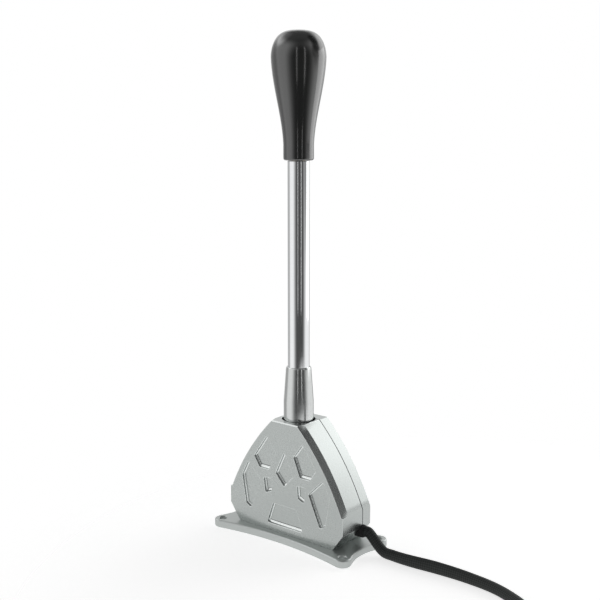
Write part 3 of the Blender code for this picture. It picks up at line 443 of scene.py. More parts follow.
def whole_faces(node):
    """A copy of a CAD node's mesh, welded, and its shape with the flat faces whole again."""
    source = frame["nodes"][node].data
    points = np.empty(len(source.vertices) * 3)
    source.vertices.foreach_get("co", points)
    faces = [tuple(face.vertices) for face in source.polygons]
    mesh = bpy.data.meshes.new(f"{node}_finished")
    mesh.from_pydata(points.reshape(-1, 3).tolist(), [], faces)
    weld(mesh)
    shape = bmesh.new()
    shape.from_mesh(mesh)
    bmesh.ops.dissolve_limit(shape, angle_limit=FLAT_WITHIN, verts=shape.verts, edges=shape.edges)
    return mesh, shape


def finished(node, mesh, shape, finish):
    """The piece that stands for a node, once its shape is back in its mesh."""
    shape.to_mesh(mesh)
    shape.free()
    return piece(f"{node}_finished", mesh, finish, body_of_node(node), (node,))


def soften_edges(made, width, segments, finish=0):
    """Rounds a piece's weighted edges, in one of its materials (on the housing's front half a painted
    highlight), and keeps its flats flat in the light.
    """
    bevel = made.modifiers.new("edges", "BEVEL")
    bevel.width = width
    bevel.segments = segments
    bevel.limit_method = "WEIGHT"
    bevel.use_clamp_overlap = False
    bevel.material = finish
    flats = made.modifiers.new("flats", "WEIGHTED_NORMAL")
    flats.keep_sharp = True


def machined(node, finish, width, segments=EDGE_STEPS):
    """A copy of a CAD node with its edges rounded off."""
    mesh, shape = whole_faces(node)
    weight = shape.edges.layers.float.new(EDGE_WEIGHT)
    for edge in shape.edges:
        if edge.calc_face_angle(0) > ROUNDED_FROM:
            edge[weight] = 1.0
    soften_edges(finished(node, mesh, shape, finish), width, segments)


def chamfer(shape, edges, width, finish):
    """Cuts a flat chamfer along edges, in one of the piece's materials, and keeps its borders crisp. On the
    housing that is a painted highlight along the front top edge and painted shade along the joint.
    """
    cut = bmesh.ops.bevel(shape, geom=edges, offset=width, segments=1, profile=0.5, affect="EDGES")
    for face in cut["faces"]:
        face.material_index = finish
        for edge in face.edges:
            edge.smooth = False


def front_top_edges(shape):
    """The edges where the front face meets the top."""
    front = min(corner.co.y for corner in shape.verts)
    top = max(corner.co.z for corner in shape.verts)
    return [edge for edge in shape.edges
            if all(max(corner.co.y - front, top - corner.co.z) < TOUCHING for corner in edge.verts)]


def joint_edges(shape):
    """The edges along the split between the two halves."""
    return [edge for edge in shape.edges
            if edge.calc_face_angle(0) > ROUNDED_FROM
            and all(abs(corner.co.y - SPLIT) < SPLIT_GAP for corner in edge.verts)]


def weigh_edges(shape, share):
    """Gives each edge of a half its share of the widest rounding, and keeps long shallow creases crisp.

    An edge at the ends has less. One on the floor of a pocket has more, and all of it where it lies level
    and near the middle.
    """
    weight = shape.edges.layers.float.new(EDGE_WEIGHT)
    front = min(corner.co.y for corner in shape.verts)
    for edge in shape.edges:
        angle = edge.calc_face_angle(0)
        places = [corner.co for corner in edge.verts]
        if angle > ROUNDED_FROM and edge.smooth:
            edge[weight] = share
            if all(abs(place.x) > PLAIN_ENDS for place in places):
                edge[weight] = share * END_SHARE
            if all(abs(place.y - front - POCKET_DEPTH) < TOUCHING for place in places):
                level = max(face.normal.z for face in edge.link_faces) > LEVEL_NORMAL
                inner = all(abs(place.x) < INNER_POCKETS for place in places)
                edge[weight] = 1.0 if level and inner else max(share, POCKET_SHARE)
        elif CREASED_FROM < angle < CREASED_TO and edge.calc_length() > CREASE_LENGTH:
            edge.smooth = False


def housing_half(node, edge_colour, fillet=None):
    """A half of the housing: rounded edges in their own colour, crisp creases and a dark joint that is
    painted shade.

    A half with a fillet has it along the floors of its pockets, and a flat chamfer along its front top edge.
    On that half the rounded edges, fillets and chamfer are painted lighter than the faces, as a highlight.
    """
    widest = fillet or HOUSING_EDGE
    mesh, shape = whole_faces(node)
    if fillet:
        chamfer(shape, front_top_edges(shape), TOP_CHAMFER, EDGE_COLOUR_SLOT)
    # The joint's chamfer is dark steel: painted shade between the two halves.
    chamfer(shape, joint_edges(shape), JOINT_CHAMFER, JOINT_SHADE_SLOT)
    weigh_edges(shape, HOUSING_EDGE / widest)
    made = finished(node, mesh, shape, SATIN_ALUMINIUM)
    # The edges' slot: on the front half a lighter metal, a painted highlight.
    mesh.materials.append(edge_colour)
    mesh.materials.append(DARK_STEEL_AND_JOINT_SHADE)
    soften_edges(made, widest, FINE_EDGE_STEPS, EDGE_COLOUR_SLOT)


# Materials

def add(tree, kind, **values):
    """A new node with its plain properties set."""
    made = tree.nodes.new(kind)
    for key, value in values.items():
        setattr(made, key, value)
    return made


def arithmetic(tree, operation, *values):
    """One step of arithmetic on sockets or numbers."""
    made = add(tree, "ShaderNodeMath", operation=operation)
    for socket, value in zip(made.inputs, values):
        if isinstance(value, (int, float)):
            socket.default_value = value
        else:
            tree.links.new(value, socket)
    return made.outputs[0]


def ranged(tree, value, start, end, first, last, easing="SMOOTHSTEP"):
    """A value carried from the first number to the last as it goes from a start to an end."""
    made = add(tree, "ShaderNodeMapRange", interpolation_type=easing)
    made.inputs["From Min"].default_value = start
    made.inputs["From Max"].default_value = end
    made.inputs["To Min"].default_value = first
    made.inputs["To Max"].default_value = last
    tree.links.new(value, made.inputs["Value"])
    return made.outputs["Result"]


def spread(tree, value, low, high):
    """A value around the middle of noise, widened to a range."""
    return ranged(tree, value, NOISE_LOW, NOISE_HIGH, low, high, "LINEAR")


def tinted(tree, value, dark, bright):
    """A colour between two, by a value around the middle of noise."""
    ramp = add(tree, "ShaderNodeValToRGB")
    ends = ((NOISE_LOW, dark), (NOISE_HIGH, bright))
    for stop, (position, colour) in zip(ramp.color_ramp.elements, ends):
        stop.position = position
        stop.color = (*colour, 1)
    tree.links.new(value, ramp.inputs["Fac"])
    return ramp.outputs["Color"]


def raised(tree, shader, height, distance):
    """A bump of a height in metres on the shader's normal."""
    bump = add(tree, "ShaderNodeBump")
    bump.inputs["Strength"].default_value = RELIEF_STRENGTH
    bump.inputs["Distance"].default_value = distance
    tree.links.new(height, bump.inputs["Height"])
    tree.links.new(bump.outputs["Normal"], shader.inputs["Normal"])


def tool_marks_group():
    """Fine lines along the stretched vector, and broad clouds on the plain one, both from 0 to 1."""
    group = bpy.data.node_groups.new("tool_marks", "ShaderNodeTree")
    group.interface.new_socket("Stretched", in_out="INPUT", socket_type="NodeSocketVector")
    group.interface.new_socket("Plain", in_out="INPUT", socket_type="NodeSocketVector")
    group.interface.new_socket("Lines", in_out="OUTPUT", socket_type="NodeSocketFloat")
    group.interface.new_socket("Clouds", in_out="OUTPUT", socket_type="NodeSocketFloat")
    into = add(group, "NodeGroupInput")
    out = add(group, "NodeGroupOutput")
    lines = add(group, "ShaderNodeTexNoise")
    lines.inputs["Scale"].default_value = 1.0
    lines.inputs["Detail"].default_value = 3.0
    clouds = add(group, "ShaderNodeTexNoise")
    clouds.inputs["Scale"].default_value = 42.0
    clouds.inputs["Detail"].default_value = 4.0
    clouds.inputs["Roughness"].default_value = 0.6
    group.links.new(into.outputs["Stretched"], lines.inputs["Vector"])
    group.links.new(into.outputs["Plain"], clouds.inputs["Vector"])
    group.links.new(lines.outputs["Fac"], out.inputs["Lines"])
    group.links.new(clouds.outputs["Fac"], out.inputs["Clouds"])
    return group


TOOL_MARKS = tool_marks_group()


def blank_material(name):
    """A new material, its node tree and its shader."""
    made = bpy.data.materials.new(name)
    made.use_nodes = True
    return made, made.node_tree, made.node_tree.nodes["Principled BSDF"]


def marked(tree, stretch):
    """The tool marks, with the lines stretched by a scale along each axis."""
    place = add(tree, "ShaderNodeTexCoord")
    mapping = add(tree, "ShaderNodeMapping")
    mapping.inputs["Scale"].default_value = stretch
    marks = add(tree, "ShaderNodeGroup", node_tree=TOOL_MARKS)
    tree.links.new(place.outputs["Object"], mapping.inputs["Vector"])
    tree.links.new(mapping.outputs["Vector"], marks.inputs["Stretched"])
    tree.links.new(place.outputs["Object"], marks.inputs["Plain"])
    return marks


def metal(name, dark, bright, rough, stretch, relief):
    """Metal whose colour and gloss follow clouds and tool lines, half each, with the lines in relief."""
    made, tree, shader = blank_material(name)
    marks = marked(tree, stretch)
    shader.inputs["Metallic"].default_value = 1.0
    half_clouds = arithmetic(tree, "MULTIPLY", marks.outputs["Clouds"], 0.5)
    mixed = arithmetic(tree, "MULTIPLY_ADD", marks.outputs["Lines"], 0.5, half_clouds)
    tree.links.new(tinted(tree, mixed, dark, bright), shader.inputs["Base Color"])
    tree.links.new(spread(tree, mixed, *rough), shader.inputs["Roughness"])
    raised(tree, shader, marks.outputs["Lines"], relief)
    return made


def moulded(name, dark, bright, rough, grain, relief):
    """Plastic or rubber with a fine skin texture and broad patches of gloss."""
    made, tree, shader = blank_material(name)
    marks = marked(tree, (grain, grain, grain))
    tree.links.new(tinted(tree, marks.outputs["Clouds"], dark, bright), shader.inputs["Base Color"])
    tree.links.new(spread(tree, marks.outputs["Clouds"], *rough), shader.inputs["Roughness"])
    raised(tree, shader, marks.outputs["Lines"], relief)
    return made


def satin_aluminium():
    """The housing, with fine lines along its length."""
    return metal("satin_aluminium", (0.432, 0.457, 0.447), (0.452, 0.477, 0.467), (0.25, 0.29),
                 (350, 2600, 2600), 0.0007 * MM)


def highlight_aluminium():
    """The front half's edges, pocket fillets and top chamfer, painted lighter than its faces as a highlight.
    """
    return metal("highlight_aluminium", (0.74, 0.77, 0.76), (0.80, 0.83, 0.82), (0.22, 0.27),
                 (350, 2600, 2600), 0.0012 * MM)


def blasted_aluminium():
    """The base plate, with a fine even grain."""
    return metal("blasted_aluminium", (0.49, 0.515, 0.505), (0.53, 0.555, 0.545), (0.42, 0.48),
                 (1800, 1800, 1800), 0.002 * MM)


def polished_steel():
    """The rod and the plug's shell, with faint rings round Z."""
    return metal("polished_steel", (0.80, 0.81, 0.82), (0.85, 0.86, 0.87), (0.06, 0.10),
                 (60, 60, 2600), 0.0003 * MM)


def turned_steel():
    """The sleeve, with the rings that turning leaves."""
    return metal("turned_steel", (0.60, 0.615, 0.61), (0.66, 0.675, 0.67), (0.13, 0.19),
                 (60, 60, 2600), 0.0006 * MM)


def machined_steel():
    """The works inside the housing, springs included."""
    return metal("machined_steel", (0.5, 0.5, 0.515), (0.62, 0.62, 0.635), (0.24, 0.36),
                 (700, 700, 3200), 0.004 * MM)


def dark_steel():
    """The screws and the stop bracket; along the joint between the halves it is painted shade."""
    return metal("dark_steel", (0.035, 0.035, 0.038), (0.07, 0.07, 0.075), (0.32, 0.48),
                 (2200, 2200, 2200), 0.006 * MM)


def brass():
    """Bushes, insert and contacts, with short lines across Y."""
    return metal("brass", (0.68, 0.47, 0.17), (0.8, 0.6, 0.26), (0.2, 0.32), (900, 3200, 900), 0.004 * MM)


def gloss_black():
    """The knob: black plastic under a thick clear coat."""
    made = moulded("gloss_black", (0.008, 0.010, 0.009), (0.012, 0.014, 0.013), (0.3, 0.36), 900, 0.003 * MM)
    shader = made.node_tree.nodes["Principled BSDF"]
    shader.inputs["Specular IOR Level"].default_value = 0.1
    shader.inputs["Coat Weight"].default_value = 1.0
    shader.inputs["Coat Roughness"].default_value = 0.14
    shader.inputs["Coat IOR"].default_value = 2.0
    return made


def black_rubber():
    """Grommet, stops, inner lead and plug."""
    return moulded("black_rubber", (0.014, 0.014, 0.014), (0.026, 0.026, 0.026), (0.6, 0.8), 2400, 0.02 * MM)


def board_green():
    """The sensor board's lacquer."""
    return moulded("board_green", (0.012, 0.15, 0.06), (0.03, 0.24, 0.1), (0.3, 0.45), 1200, 0.02 * MM)


def chip_black():
    """Moulded chips and the plug's contact carrier."""
    return moulded("chip_black", (0.016, 0.016, 0.018), (0.03, 0.03, 0.032), (0.5, 0.65), 5200, 0.01 * MM)


def connector_cream():
    """The board's connector."""
    return moulded("connector_cream", (0.68, 0.63, 0.5), (0.8, 0.75, 0.63), (0.35, 0.5), 1500, 0.01 * MM)


def strap_cloth():
    """The strap's coarse pile."""
    return moulded("strap_cloth", (0.012, 0.012, 0.012), (0.034, 0.034, 0.035), (0.8, 0.95), 3600, 0.12 * MM)


def black_braid():
    """Woven sleeving, u along the lead and v round it: height is 0.5 + 0.5 sin 2pi(u+v) sin 2pi(u-v)."""
    made, tree, shader = blank_material("black_braid")
    place = add(tree, "ShaderNodeUVMap", uv_map="along")
    parts = add(tree, "ShaderNodeSeparateXYZ")
    tree.links.new(place.outputs["UV"], parts.inputs["Vector"])
    waves = []
    for operation in ("ADD", "SUBTRACT"):
        slant = arithmetic(tree, operation, parts.outputs["X"], parts.outputs["Y"])
        turns = arithmetic(tree, "MULTIPLY", slant, 2 * math.pi)
        waves.append(arithmetic(tree, "SINE", turns))
    crossing = arithmetic(tree, "MULTIPLY", *waves)
    height = arithmetic(tree, "MULTIPLY_ADD", crossing, 0.5, 0.5)
    # Painted highlight and shade: the colour is lighter where the weave stands high and darker in its
    # hollows.
    colour = tinted(tree, height, (0.016, 0.019, 0.018), (0.034, 0.039, 0.037))
    tree.links.new(colour, shader.inputs["Base Color"])
    tree.links.new(spread(tree, height, 0.8, 0.6), shader.inputs["Roughness"])
    raised(tree, shader, height, 0.25 * MM)
    return made


SATIN_ALUMINIUM = satin_aluminium()
HIGHLIGHT_ALUMINIUM = highlight_aluminium()
BLASTED_ALUMINIUM = blasted_aluminium()
POLISHED_STEEL = polished_steel()
TURNED_STEEL = turned_steel()
MACHINED_STEEL = machined_steel()
DARK_STEEL_AND_JOINT_SHADE = dark_steel()
BRASS = brass()
GLOSS_BLACK = gloss_black()
BLACK_RUBBER = black_rubber()
BOARD_GREEN = board_green()
CHIP_BLACK = chip_black()
CONNECTOR_CREAM = connector_cream()
STRAP_CLOTH = strap_cloth()
BLACK_BRAID = black_braid()


# Camera and light

def camera():
    """Turns the camera by its azimuth and pitch alone, with no roll."""
    right = Vector((math.cos(CAMERA_AZIMUTH), math.sin(CAMERA_AZIMUTH), 0))
    level = math.cos(CAMERA_PITCH)
    back = Vector((right.y * level, -right.x * level, math.sin(CAMERA_PITCH)))
    turn = Matrix((right, back.cross(right), back)).transposed().to_4x4()
    data = bpy.data.cameras.new("camera")
    data.lens = CAMERA_LENS
    data.sensor_width = CAMERA_SENSOR
    made = linked("camera", data)
    made.matrix_world = Matrix.Translation(CAMERA_PLACE) @ turn
    bpy.context.scene.camera = made


def toward(azimuth, elevation):
    """The direction at an azimuth from +X towards +Y, and an elevation, in degrees."""
    a, e = math.radians(azimuth), math.radians(elevation)
    return Vector((math.cos(a) * math.cos(e), math.sin(a) * math.cos(e), math.sin(e)))


def softbox(name, azimuth, elevation, distance, width, height, brightness):
    """A flat lamp of even brightness that faces the lit point."""
    data = bpy.data.lights.new(name, "AREA")
    data.shape = "RECTANGLE"
    data.size = width
    data.size_y = height
    data.energy = brightness * math.pi * width * height
    made = linked(name, data)
    way = toward(azimuth, elevation)
    turn = way.to_track_quat("Z", "Y").to_matrix().to_4x4()
    made.matrix_world = Matrix.Translation(LIT_POINT + way * distance) @ turn
    made.visible_camera = False


def lamps():
    """A card beside the slanted side, and two upright strips in front."""
    for name, values in LAMPS.items():
        softbox(name, *values)


def reflected(tree):
    """The kinds of ray, and a value that is 1 for those seen in metal or through glass, 0 for the rest."""
    path = add(tree, "ShaderNodeLightPath")
    kinds = (path.outputs["Is Glossy Ray"], path.outputs["Is Transmission Ray"])
    return path, arithmetic(tree, "MAXIMUM", *kinds)


def surround():
    """A white room with soft darker and brighter patches, as the metal shows it; white to the camera."""
    world = bpy.data.worlds.new("pale_room")
    bpy.context.scene.world = world
    world.use_nodes = True
    tree = world.node_tree
    place = add(tree, "ShaderNodeTexCoord")
    room = None
    for azimuth, elevation, start, full, brightness in ROOM_PATCHES:
        facing = add(tree, "ShaderNodeVectorMath", operation="DOT_PRODUCT")
        facing.inputs[1].default_value = toward(azimuth, elevation)
        tree.links.new(place.outputs["Generated"], facing.inputs[0])
        patch = ranged(tree, facing.outputs["Value"], start, full, 1.0, brightness)
        room = patch if room is None else arithmetic(tree, "MULTIPLY", room, patch)
    path, mirrored = reflected(tree)
    level = arithmetic(tree, "MAXIMUM", mirrored, ROOM_LIGHT)
    lit = arithmetic(tree, "MULTIPLY", room, level)
    seen = arithmetic(tree, "MAXIMUM", lit, path.outputs["Is Camera Ray"])
    tree.links.new(seen, tree.nodes["Background"].inputs["Color"])


def pale_floor():
    """The floor's finish: it fades out at the rim, and seen or mirrored it is topped up to white."""
    finish, tree, shader = blank_material("pale_floor")
    shader.inputs["Base Color"].default_value = (FLOOR_GREY, FLOOR_GREY, FLOOR_GREY, 1)
    shader.inputs["Roughness"].default_value = FLOOR_ROUGHNESS
    shader.inputs["Specular IOR Level"].default_value = 0.0
    shader.inputs["Emission Color"].default_value = (1, 1, 1, 1)
    path, mirrored = reflected(tree)
    seen = arithmetic(tree, "MAXIMUM", mirrored, path.outputs["Is Camera Ray"])
    tree.links.new(arithmetic(tree, "MULTIPLY", seen, FLOOR_TOP_UP), shader.inputs["Emission Strength"])
    place = add(tree, "ShaderNodeTexCoord")
    away = add(tree, "ShaderNodeVectorMath", operation="DISTANCE")
    away.inputs[1].default_value = (FLOOR_MIDDLE, 0, 0)
    tree.links.new(place.outputs["Object"], away.inputs[0])
    fade = ranged(tree, away.outputs["Value"], FLOOR_SOLID, FLOOR_RADIUS, 1.0, 0.0)
    tree.links.new(fade, shader.inputs["Alpha"])
    return finish


def floor():
    """A pale round floor under the object and its lead, which keeps their shadow."""
    angle = circle(FLOOR_SIDES)[:-1]
    rim = np.column_stack((FLOOR_MIDDLE + FLOOR_RADIUS * np.cos(angle), FLOOR_RADIUS * np.sin(angle),
                           np.zeros_like(angle)))
    data = bpy.data.meshes.new("floor")
    data.from_pydata(rim.tolist(), [], [tuple(range(FLOOR_SIDES))])
    data.materials.append(pale_floor())
    made = linked("floor", data)


# Lead

def hank_line():
    """The hank's middle line over its turns.

    Half-turns are a run of the length 2h followed by a fold of radius r, turned about by a half each time.
    r falls by a step a turn, then grows again. A run is drawn in by d sin^2, and the near run where r
    turns back climbs a layer. In the last fold the lead rolls a quarter turn on to the turn beside it.
    """
    layer_turns = TURNS_IN + RUN_SHARE / 2
    full_turns = 2 * TURNS_IN
    last = full_turns + RUN_SHARE / 2
    turns = np.linspace(0, last, round(last * POINTS_A_TURN) + 1)
    fold_share = 0.5 - RUN_SHARE
    roll = np.pi / 2 * gently((turns - full_turns + fold_share) / fold_share)
    radius = HANK_FOLD + HANK_STEP * (np.abs(turns - layer_turns) - 1 + np.cos(roll))
    layer = gently((turns - TURNS_IN) / RUN_SHARE) + np.sin(roll)
    part = (turns % 0.5) - RUN_SHARE
    run = part / RUN_SHARE + 1
    fold = np.pi * part / fold_share
    along = np.where(part < 0, HANK_HALF_RUN * (2 * run - 1), HANK_HALF_RUN + radius * np.sin(fold))
    aside = np.where(part < 0, HANK_DRAW_IN * np.sin(np.pi * run) ** 2 - radius, -radius * np.cos(fold))
    way = np.where(turns % 1 < 0.5, 1, -1)
    return np.column_stack((HANK_CENTRE[0] + way * along, HANK_CENTRE[1] + way * aside,
                            HANK_LOW + HANK_RISE * layer))


def lead_line():
    """The whole lead: a smooth curve along the floor, the hank, and a straight tail to the plug."""
    hank = hank_line()
    ahead = np.array((1.0, 0, 0))
    approach = [hank[0] - CORD_DIAMETER * ahead, hank[0]]
    route = smooth_line(np.concatenate((CORD_ROUTE, approach)), ROUTE_STEPS)
    tail = hank[-1] + np.outer(TAIL_RUN * np.linspace(0, 1, TAIL_STEPS + 1)[1:], ahead)
    return np.concatenate((route[:-1], hank, tail))


def lead(line):
    """Woven sleeving, round but drawn up into a slack tall oval by exp(-((s - m) / w)^2) at a length s."""
    along = run_lengths(line)
    slack = np.exp(-((along - SLEEVING_TALL_AT) / SLEEVING_TALL_OVER) ** 2)[:, None]
    angle = circle(SLEEVING_SIDES)
    radius = CORD_DIAMETER / 2
    half_width = between(radius, SLEEVING_HALF_WIDTH, slack)
    half_height = between(radius, np.where(np.sin(angle) > 0, SLEEVING_RISE, SLEEVING_DROP), slack)
    points = swept(line, half_width * np.cos(angle), half_height * np.sin(angle), UPWARD)
    length = np.concatenate(([0], along, along[-1:])) / BRAID_PITCH
    strand = np.linspace(0, BRAID_STRANDS, SLEEVING_SIDES + 1)
    uv = np.stack(np.meshgrid(length, strand, indexing="ij"), axis=-1)
    mesh = grid_mesh("lead", points, uv)
    return piece("lead", mesh, BLACK_BRAID, "base", ("cord", "cord_coil"))


def closed_band(outline, width, thickness):
    """A strap: a rounded bar section carried round a closed outline in the plane across its width."""
    loop = np.concatenate((outline, outline[:1]))
    way = unit(np.gradient(np.concatenate((outline[-1:], loop, outline[1:2])), axis=0)[1:-1])
    outward = np.stack((way[:, 1], -way[:, 0]), axis=-1)
    angle = circle(TIE_SIDES)
    across = width / 2 * signed_power(np.cos(angle), TIE_ACROSS_POWER)
    out = thickness / 2 * signed_power(np.sin(angle), TIE_OUT_POWER)
    flat = loop[:, None] + outward[:, None] * out[None, :, None]
    return flat, np.repeat(across[None, :], len(loop), axis=0)


def coil_tie():
    """The strap round the hank: a rounded bar section round a six-cornered outline across Y and Z."""
    box_low, box_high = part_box("coil_tie")
    half = TIE_THICKNESS / 2
    near, far = box_low.y + half, box_high.y - half
    low, high = box_low.z + half, box_high.z - half
    top_middle = HANK_CENTRE[1] + TIE_TOP_MIDDLE
    corners = [(HANK_CENTRE[1], low, 0), (far, low, TIE_CORNER), (far, TIE_BACK_TOP + half, TIE_CORNER),
               (top_middle + TIE_TOP_HALF, high, TIE_CORNER), (top_middle - TIE_TOP_HALF, high, TIE_CORNER),
               (near, TIE_SHOULDER, TIE_CORNER), (near, low, TIE_CORNER), (HANK_CENTRE[1], low, 0)]
    outline = eased(corners, TIE_CORNER_STEPS)[:-1]
    flat, across = closed_band(outline, TIE_WIDTH, TIE_THICKNESS)
    points = np.stack((HANK_CENTRE[0] + across, flat[..., 0], flat[..., 1]), axis=-1)
    mesh = grid_mesh("coil_strap", points)
    return piece("coil_strap", mesh, STRAP_CLOTH, "base", ("coil_tie",))


def grommet():
    """A rubber bush turned about X: a straight barrel whose rounded nose is drawn in a little."""
    low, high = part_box("cable_grommet")
    radius = (high.z - low.z) / 2
    profile = eased([(0, high.x, 0), (radius - GROMMET_NOSE_IN, high.x, GROMMET_NOSE_EASE),
                     (radius, high.x - GROMMET_SHOULDER, GROMMET_SHOULDER_EASE),
                     (radius, low.x, GROMMET_REAR_EASE), (0, low.x, 0)])
    around = turned(profile, GROMMET_SIDES)
    points = np.stack((around[..., 2], around[..., 0], around[..., 1]), axis=-1)
    points = points + np.array((0, (low.y + high.y) / 2, (low.z + high.z) / 2))
    mesh = grid_mesh("lead_grommet", points)
    return piece("lead_grommet", mesh, BLACK_RUBBER, "base", ("cable_grommet",))


# Plug

def plug_line(line, start, length, steps):
    """Points straight on from the lead's end."""
    way = line[-1] - line[-2]
    way = unit(np.array((way[0], way[1], 0.0)))
    return line[-1] + np.outer(start + length * np.linspace(0, 1, steps), way)


def plug_body(line):
    """The moulding, an oblong section along the lead's line.

    A collar ribbed by d cos(2 pi s / p) swells into the grip. The grip has a slight waist of
    exp(-((s - m) / w)^2) and turns in at its front edge by the square of the way there.
    """
    along = PLUG_LENGTH * np.linspace(0, 1, PLUG_ROWS)
    swell = gently((along - COLLAR_LENGTH) / PLUG_SWELL)
    ribs = np.cos(2 * np.pi * along / RIB_PITCH) * (along < COLLAR_LENGTH)
    turn_in = np.clip((along - PLUG_LENGTH + TURN_IN) / TURN_IN, 0, 1)
    drawn = 1 - TURN_IN_SHARE * turn_in**2
    waist = 1 - WAIST_SHARE * np.exp(-((along - WAIST_AT) / WAIST_OVER) ** 2)
    half_width = (between(COLLAR_HALF_WIDTH, PLUG_HALF_WIDTH, swell) + RIB_DEPTH * ribs) * drawn * waist
    half_height = (between(COLLAR_HALF_HEIGHT, PLUG_HALF_HEIGHT, swell) + RIB_DEPTH_ABOVE * ribs) * drawn
    section = oblong(half_width[:, None], half_height[:, None], PLUG_FULLNESS, PLUG_SIDES)
    path = plug_line(line, JOINT_GAP, PLUG_LENGTH, PLUG_ROWS)
    mesh = grid_mesh("plug_moulding", swept(path, *section, UPWARD))
    return piece("plug_moulding", mesh, BLACK_RUBBER, "base", ("plug_body",))


def plug_shell(line):
    """The folded metal shell: an oblong tube with open ends, and latch windows above and below."""
    path = plug_line(line, SHELL_START, SHELL_LENGTH, SHELL_ROWS)
    across, rise = oblong(SHELL_HALF_WIDTH, SHELL_HALF_HEIGHT, SHELL_FULLNESS, SHELL_SIDES)
    points = swept(path, across, rise, UPWARD)[1:-1]
    middle_row = (np.arange(SHELL_ROWS - 1) + 0.5) / (SHELL_ROWS - 1)
    middle_across = (across[:-1] + across[1:]) / 2
    middle_rise = (rise[:-1] + rise[1:]) / 2
    long_cut = np.abs(middle_row - WINDOW_AT) < WINDOW_HALF_LENGTH
    wide_cut = np.abs(np.abs(middle_across) - WINDOW_ASIDE) < WINDOW_HALF_WIDTH
    on_flat = np.abs(middle_rise) > FLAT_SHARE * SHELL_HALF_HEIGHT
    window = long_cut[:, None] & (wide_cut & on_flat)[None, :]
    mesh = grid_mesh("plug_shell_sheet", points, keep=~window)
    made = piece("plug_shell_sheet", mesh, POLISHED_STEEL, "base", ("plug_shell",))
    wall = made.modifiers.new("wall", "SOLIDIFY")
    wall.thickness = SHELL_WALL
    wall.offset = -1
    return made


def plug_tongue(line):
    """The contact carrier inside the shell, an oblong bar."""
    path = plug_line(line, SHELL_START, TONGUE_LENGTH, TONGUE_ROWS) + np.array((0, 0, TONGUE_RISE))
    section = oblong(TONGUE_HALF_WIDTH, TONGUE_HALF_HEIGHT, TONGUE_FULLNESS, TONGUE_SIDES)
    mesh = grid_mesh("plug_tongue", swept(path, *section, UPWARD))
    return piece("plug_tongue", mesh, CHIP_BLACK, "base")


def plug_contact(line, number, aside):
    """One of the contacts on the carrier, a thin oblong bar to one side of the plug's line."""
    path = plug_line(line, CONTACT_START, CONTACT_LENGTH, CONTACT_ROWS) + np.array((0, 0, CONTACT_RISE))
    side = unit(np.cross(path[-1] - path[0], UPWARD))
    section = oblong(CONTACT_HALF_WIDTH, CONTACT_HALF_HEIGHT, CONTACT_FULLNESS, CONTACT_SIDES)
    name = f"plug_contact_{number}"
    mesh = grid_mesh(name, swept(path + side * aside, *section, UPWARD))
    return piece(name, mesh, BRASS, "base")


# Lever

def knob():
    """The hand knob, a profile of radius over height turned about Z.

    The crown is r = b sin(a)^f, with f the fullness and its points crowded towards the top. An easy S, part
    slant, leads from the belly to the neck, and a straight neck to a rounded foot with the rod's bore.
    """
    low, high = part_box("knob")
    angle = np.pi / 2 * np.linspace(0, 1, CROWN_STEPS) ** CROWN_CROWDING
    crown = np.column_stack((KNOB_BELLY * np.sin(angle) ** KNOB_FULLNESS,
                             high.z - KNOB_CROWN * (1 - np.cos(angle))))
    share = np.linspace(0, 1, TAPER_STEPS + 1)[1:]
    drawn_in = KNOB_SLANT * share + (1 - KNOB_SLANT) * gently(share)
    taper = np.column_stack((between(KNOB_BELLY, KNOB_NECK, drawn_in),
                             high.z - KNOB_CROWN - KNOB_TAPER * share))
    bore_top = low.z + KNOB_BORE_DEPTH
    foot = eased([(*taper[-1], 0), (KNOB_NECK, low.z, KNOB_FOOT), (KNOB_BORE, low.z, KNOB_BORE_LIP),
                  (KNOB_BORE, bore_top, KNOB_BORE_CORNER), (0, bore_top, 0)])
    mesh = grid_mesh("hand_knob", turned(np.concatenate((crown, taper, foot[1:]))))
    return piece("hand_knob", mesh, GLOSS_BLACK, "lever", ("knob",))


def rod():
    """A ground bar turned about Z, with a shoulder and a thinner threaded end inside the knob."""
    low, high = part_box("lever_rod")
    profile = eased([(0, high.z, 0), (ROD_THREAD, high.z, ROD_TIP_EASE),
                     (ROD_THREAD, ROD_SHOULDER, ROD_ROOT_EASE), (ROD_RADIUS, ROD_SHOULDER, ROD_EASE),
                     (ROD_RADIUS, low.z, ROD_EASE), (0, low.z, 0)])
    mesh = grid_mesh("ground_rod", turned(profile))
    return piece("ground_rod", mesh, POLISHED_STEEL, "lever", ("lever_rod",))


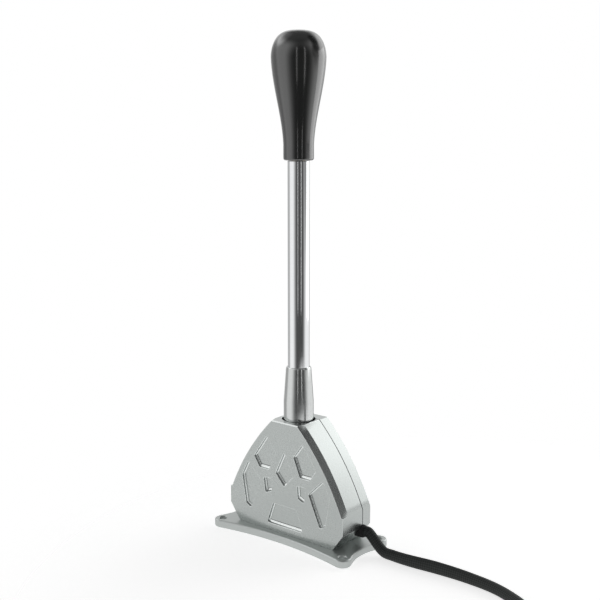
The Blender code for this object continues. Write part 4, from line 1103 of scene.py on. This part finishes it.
def spring(name):
    """A round wire on a helix (x, r cos a, r sin a) of even pitch, across the length of the CAD spring."""
    low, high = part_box(f"spring_{name}")
    middle = (low.z + high.z) / 2
    t = np.linspace(0, 1, SPRING_TURNS * SPRING_POINTS_A_TURN + 1)
    angle = 2 * np.pi * SPRING_TURNS * t
    ends = sorted((low.x + SPRING_WIRE, high.x - SPRING_WIRE), key=abs)
    line = np.column_stack((between(*ends, t), SPRING_RADIUS * np.cos(angle),
                            middle + SPRING_RADIUS * np.sin(angle)))
    around = circle(SPRING_SIDES)
    points = swept(line, SPRING_WIRE * np.cos(around), SPRING_WIRE * np.sin(around), (1, 0, 0))
    mesh = grid_mesh(f"coil_spring_{name}", points)
    made = piece(f"coil_spring_{name}", mesh, MACHINED_STEEL, None, (f"spring_{name}",))
    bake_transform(made)


# The whole

def metalwork():
    """The milled, turned and bought parts that keep their CAD shape, with their edges broken."""
    housing_half("main_body", HIGHLIGHT_ALUMINIUM, POCKET_FILLET)
    housing_half("rear_cover", SATIN_ALUMINIUM)
    machined("base_plate", BLASTED_ALUMINIUM, PLATE_EDGE, FINE_EDGE_STEPS)
    machined("lever_sleeve", TURNED_STEEL, SLEEVE_EDGE, FINE_EDGE_STEPS)
    for node in ("lever_hub", "pivot_axle", "plunger_left", "plunger_right", "sensor_magnet"):
        machined(node, MACHINED_STEEL, STEEL_EDGE)
    bushes = ("pivot_bush_front", "pivot_bush_rear", "guide_bush_left", "guide_bush_right")
    for node in (*bushes, "knob_insert"):
        machined(node, BRASS, BRASS_EDGE)
    screws = [f"cover_screw_{i}" for i in range(1, 7)] + [f"base_screw_{i}" for i in range(1, 5)]
    screws += ["stop_screw_left", "stop_screw_right", "board_screw_left", "board_screw_right"]
    for node in (*screws, "sleeve_grub_lower", "sleeve_grub_upper", "stop_bracket"):
        machined(node, DARK_STEEL_AND_JOINT_SHADE, SCREW_EDGE)


def small_parts():
    """The pads, the inner lead, the board and what is on it."""
    for node in ("bump_stop_left", "bump_stop_right", "inner_lead"):
        machined(node, BLACK_RUBBER, RUBBER_EDGE)
    for node in ("hall_sensor_left", "hall_sensor_right", "controller_chip"):
        machined(node, CHIP_BLACK, BOARD_EDGE)
    machined("sensor_board", BOARD_GREEN, BOARD_EDGE)
    machined("board_connector", CONNECTOR_CREAM, CONNECTOR_EDGE)


def build():
    """The camera and the lead first, then the lever, the housing and its works, and the studio."""
    camera()
    line = lead_line()
    flex = lead(line)
    on_lead = [coil_tie(), plug_body(line), plug_shell(line), plug_tongue(line)]
    on_lead += [plug_contact(line, i + 1, aside) for i, aside in enumerate(CONTACTS_ASIDE)]
    grommet()
    knob()
    rod()
    for name in ("left", "right"):
        spring(name)
    metalwork()
    small_parts()
    floor()
    surround()
    lamps()
    bpy.context.scene.view_settings.view_transform = "Standard"


build()
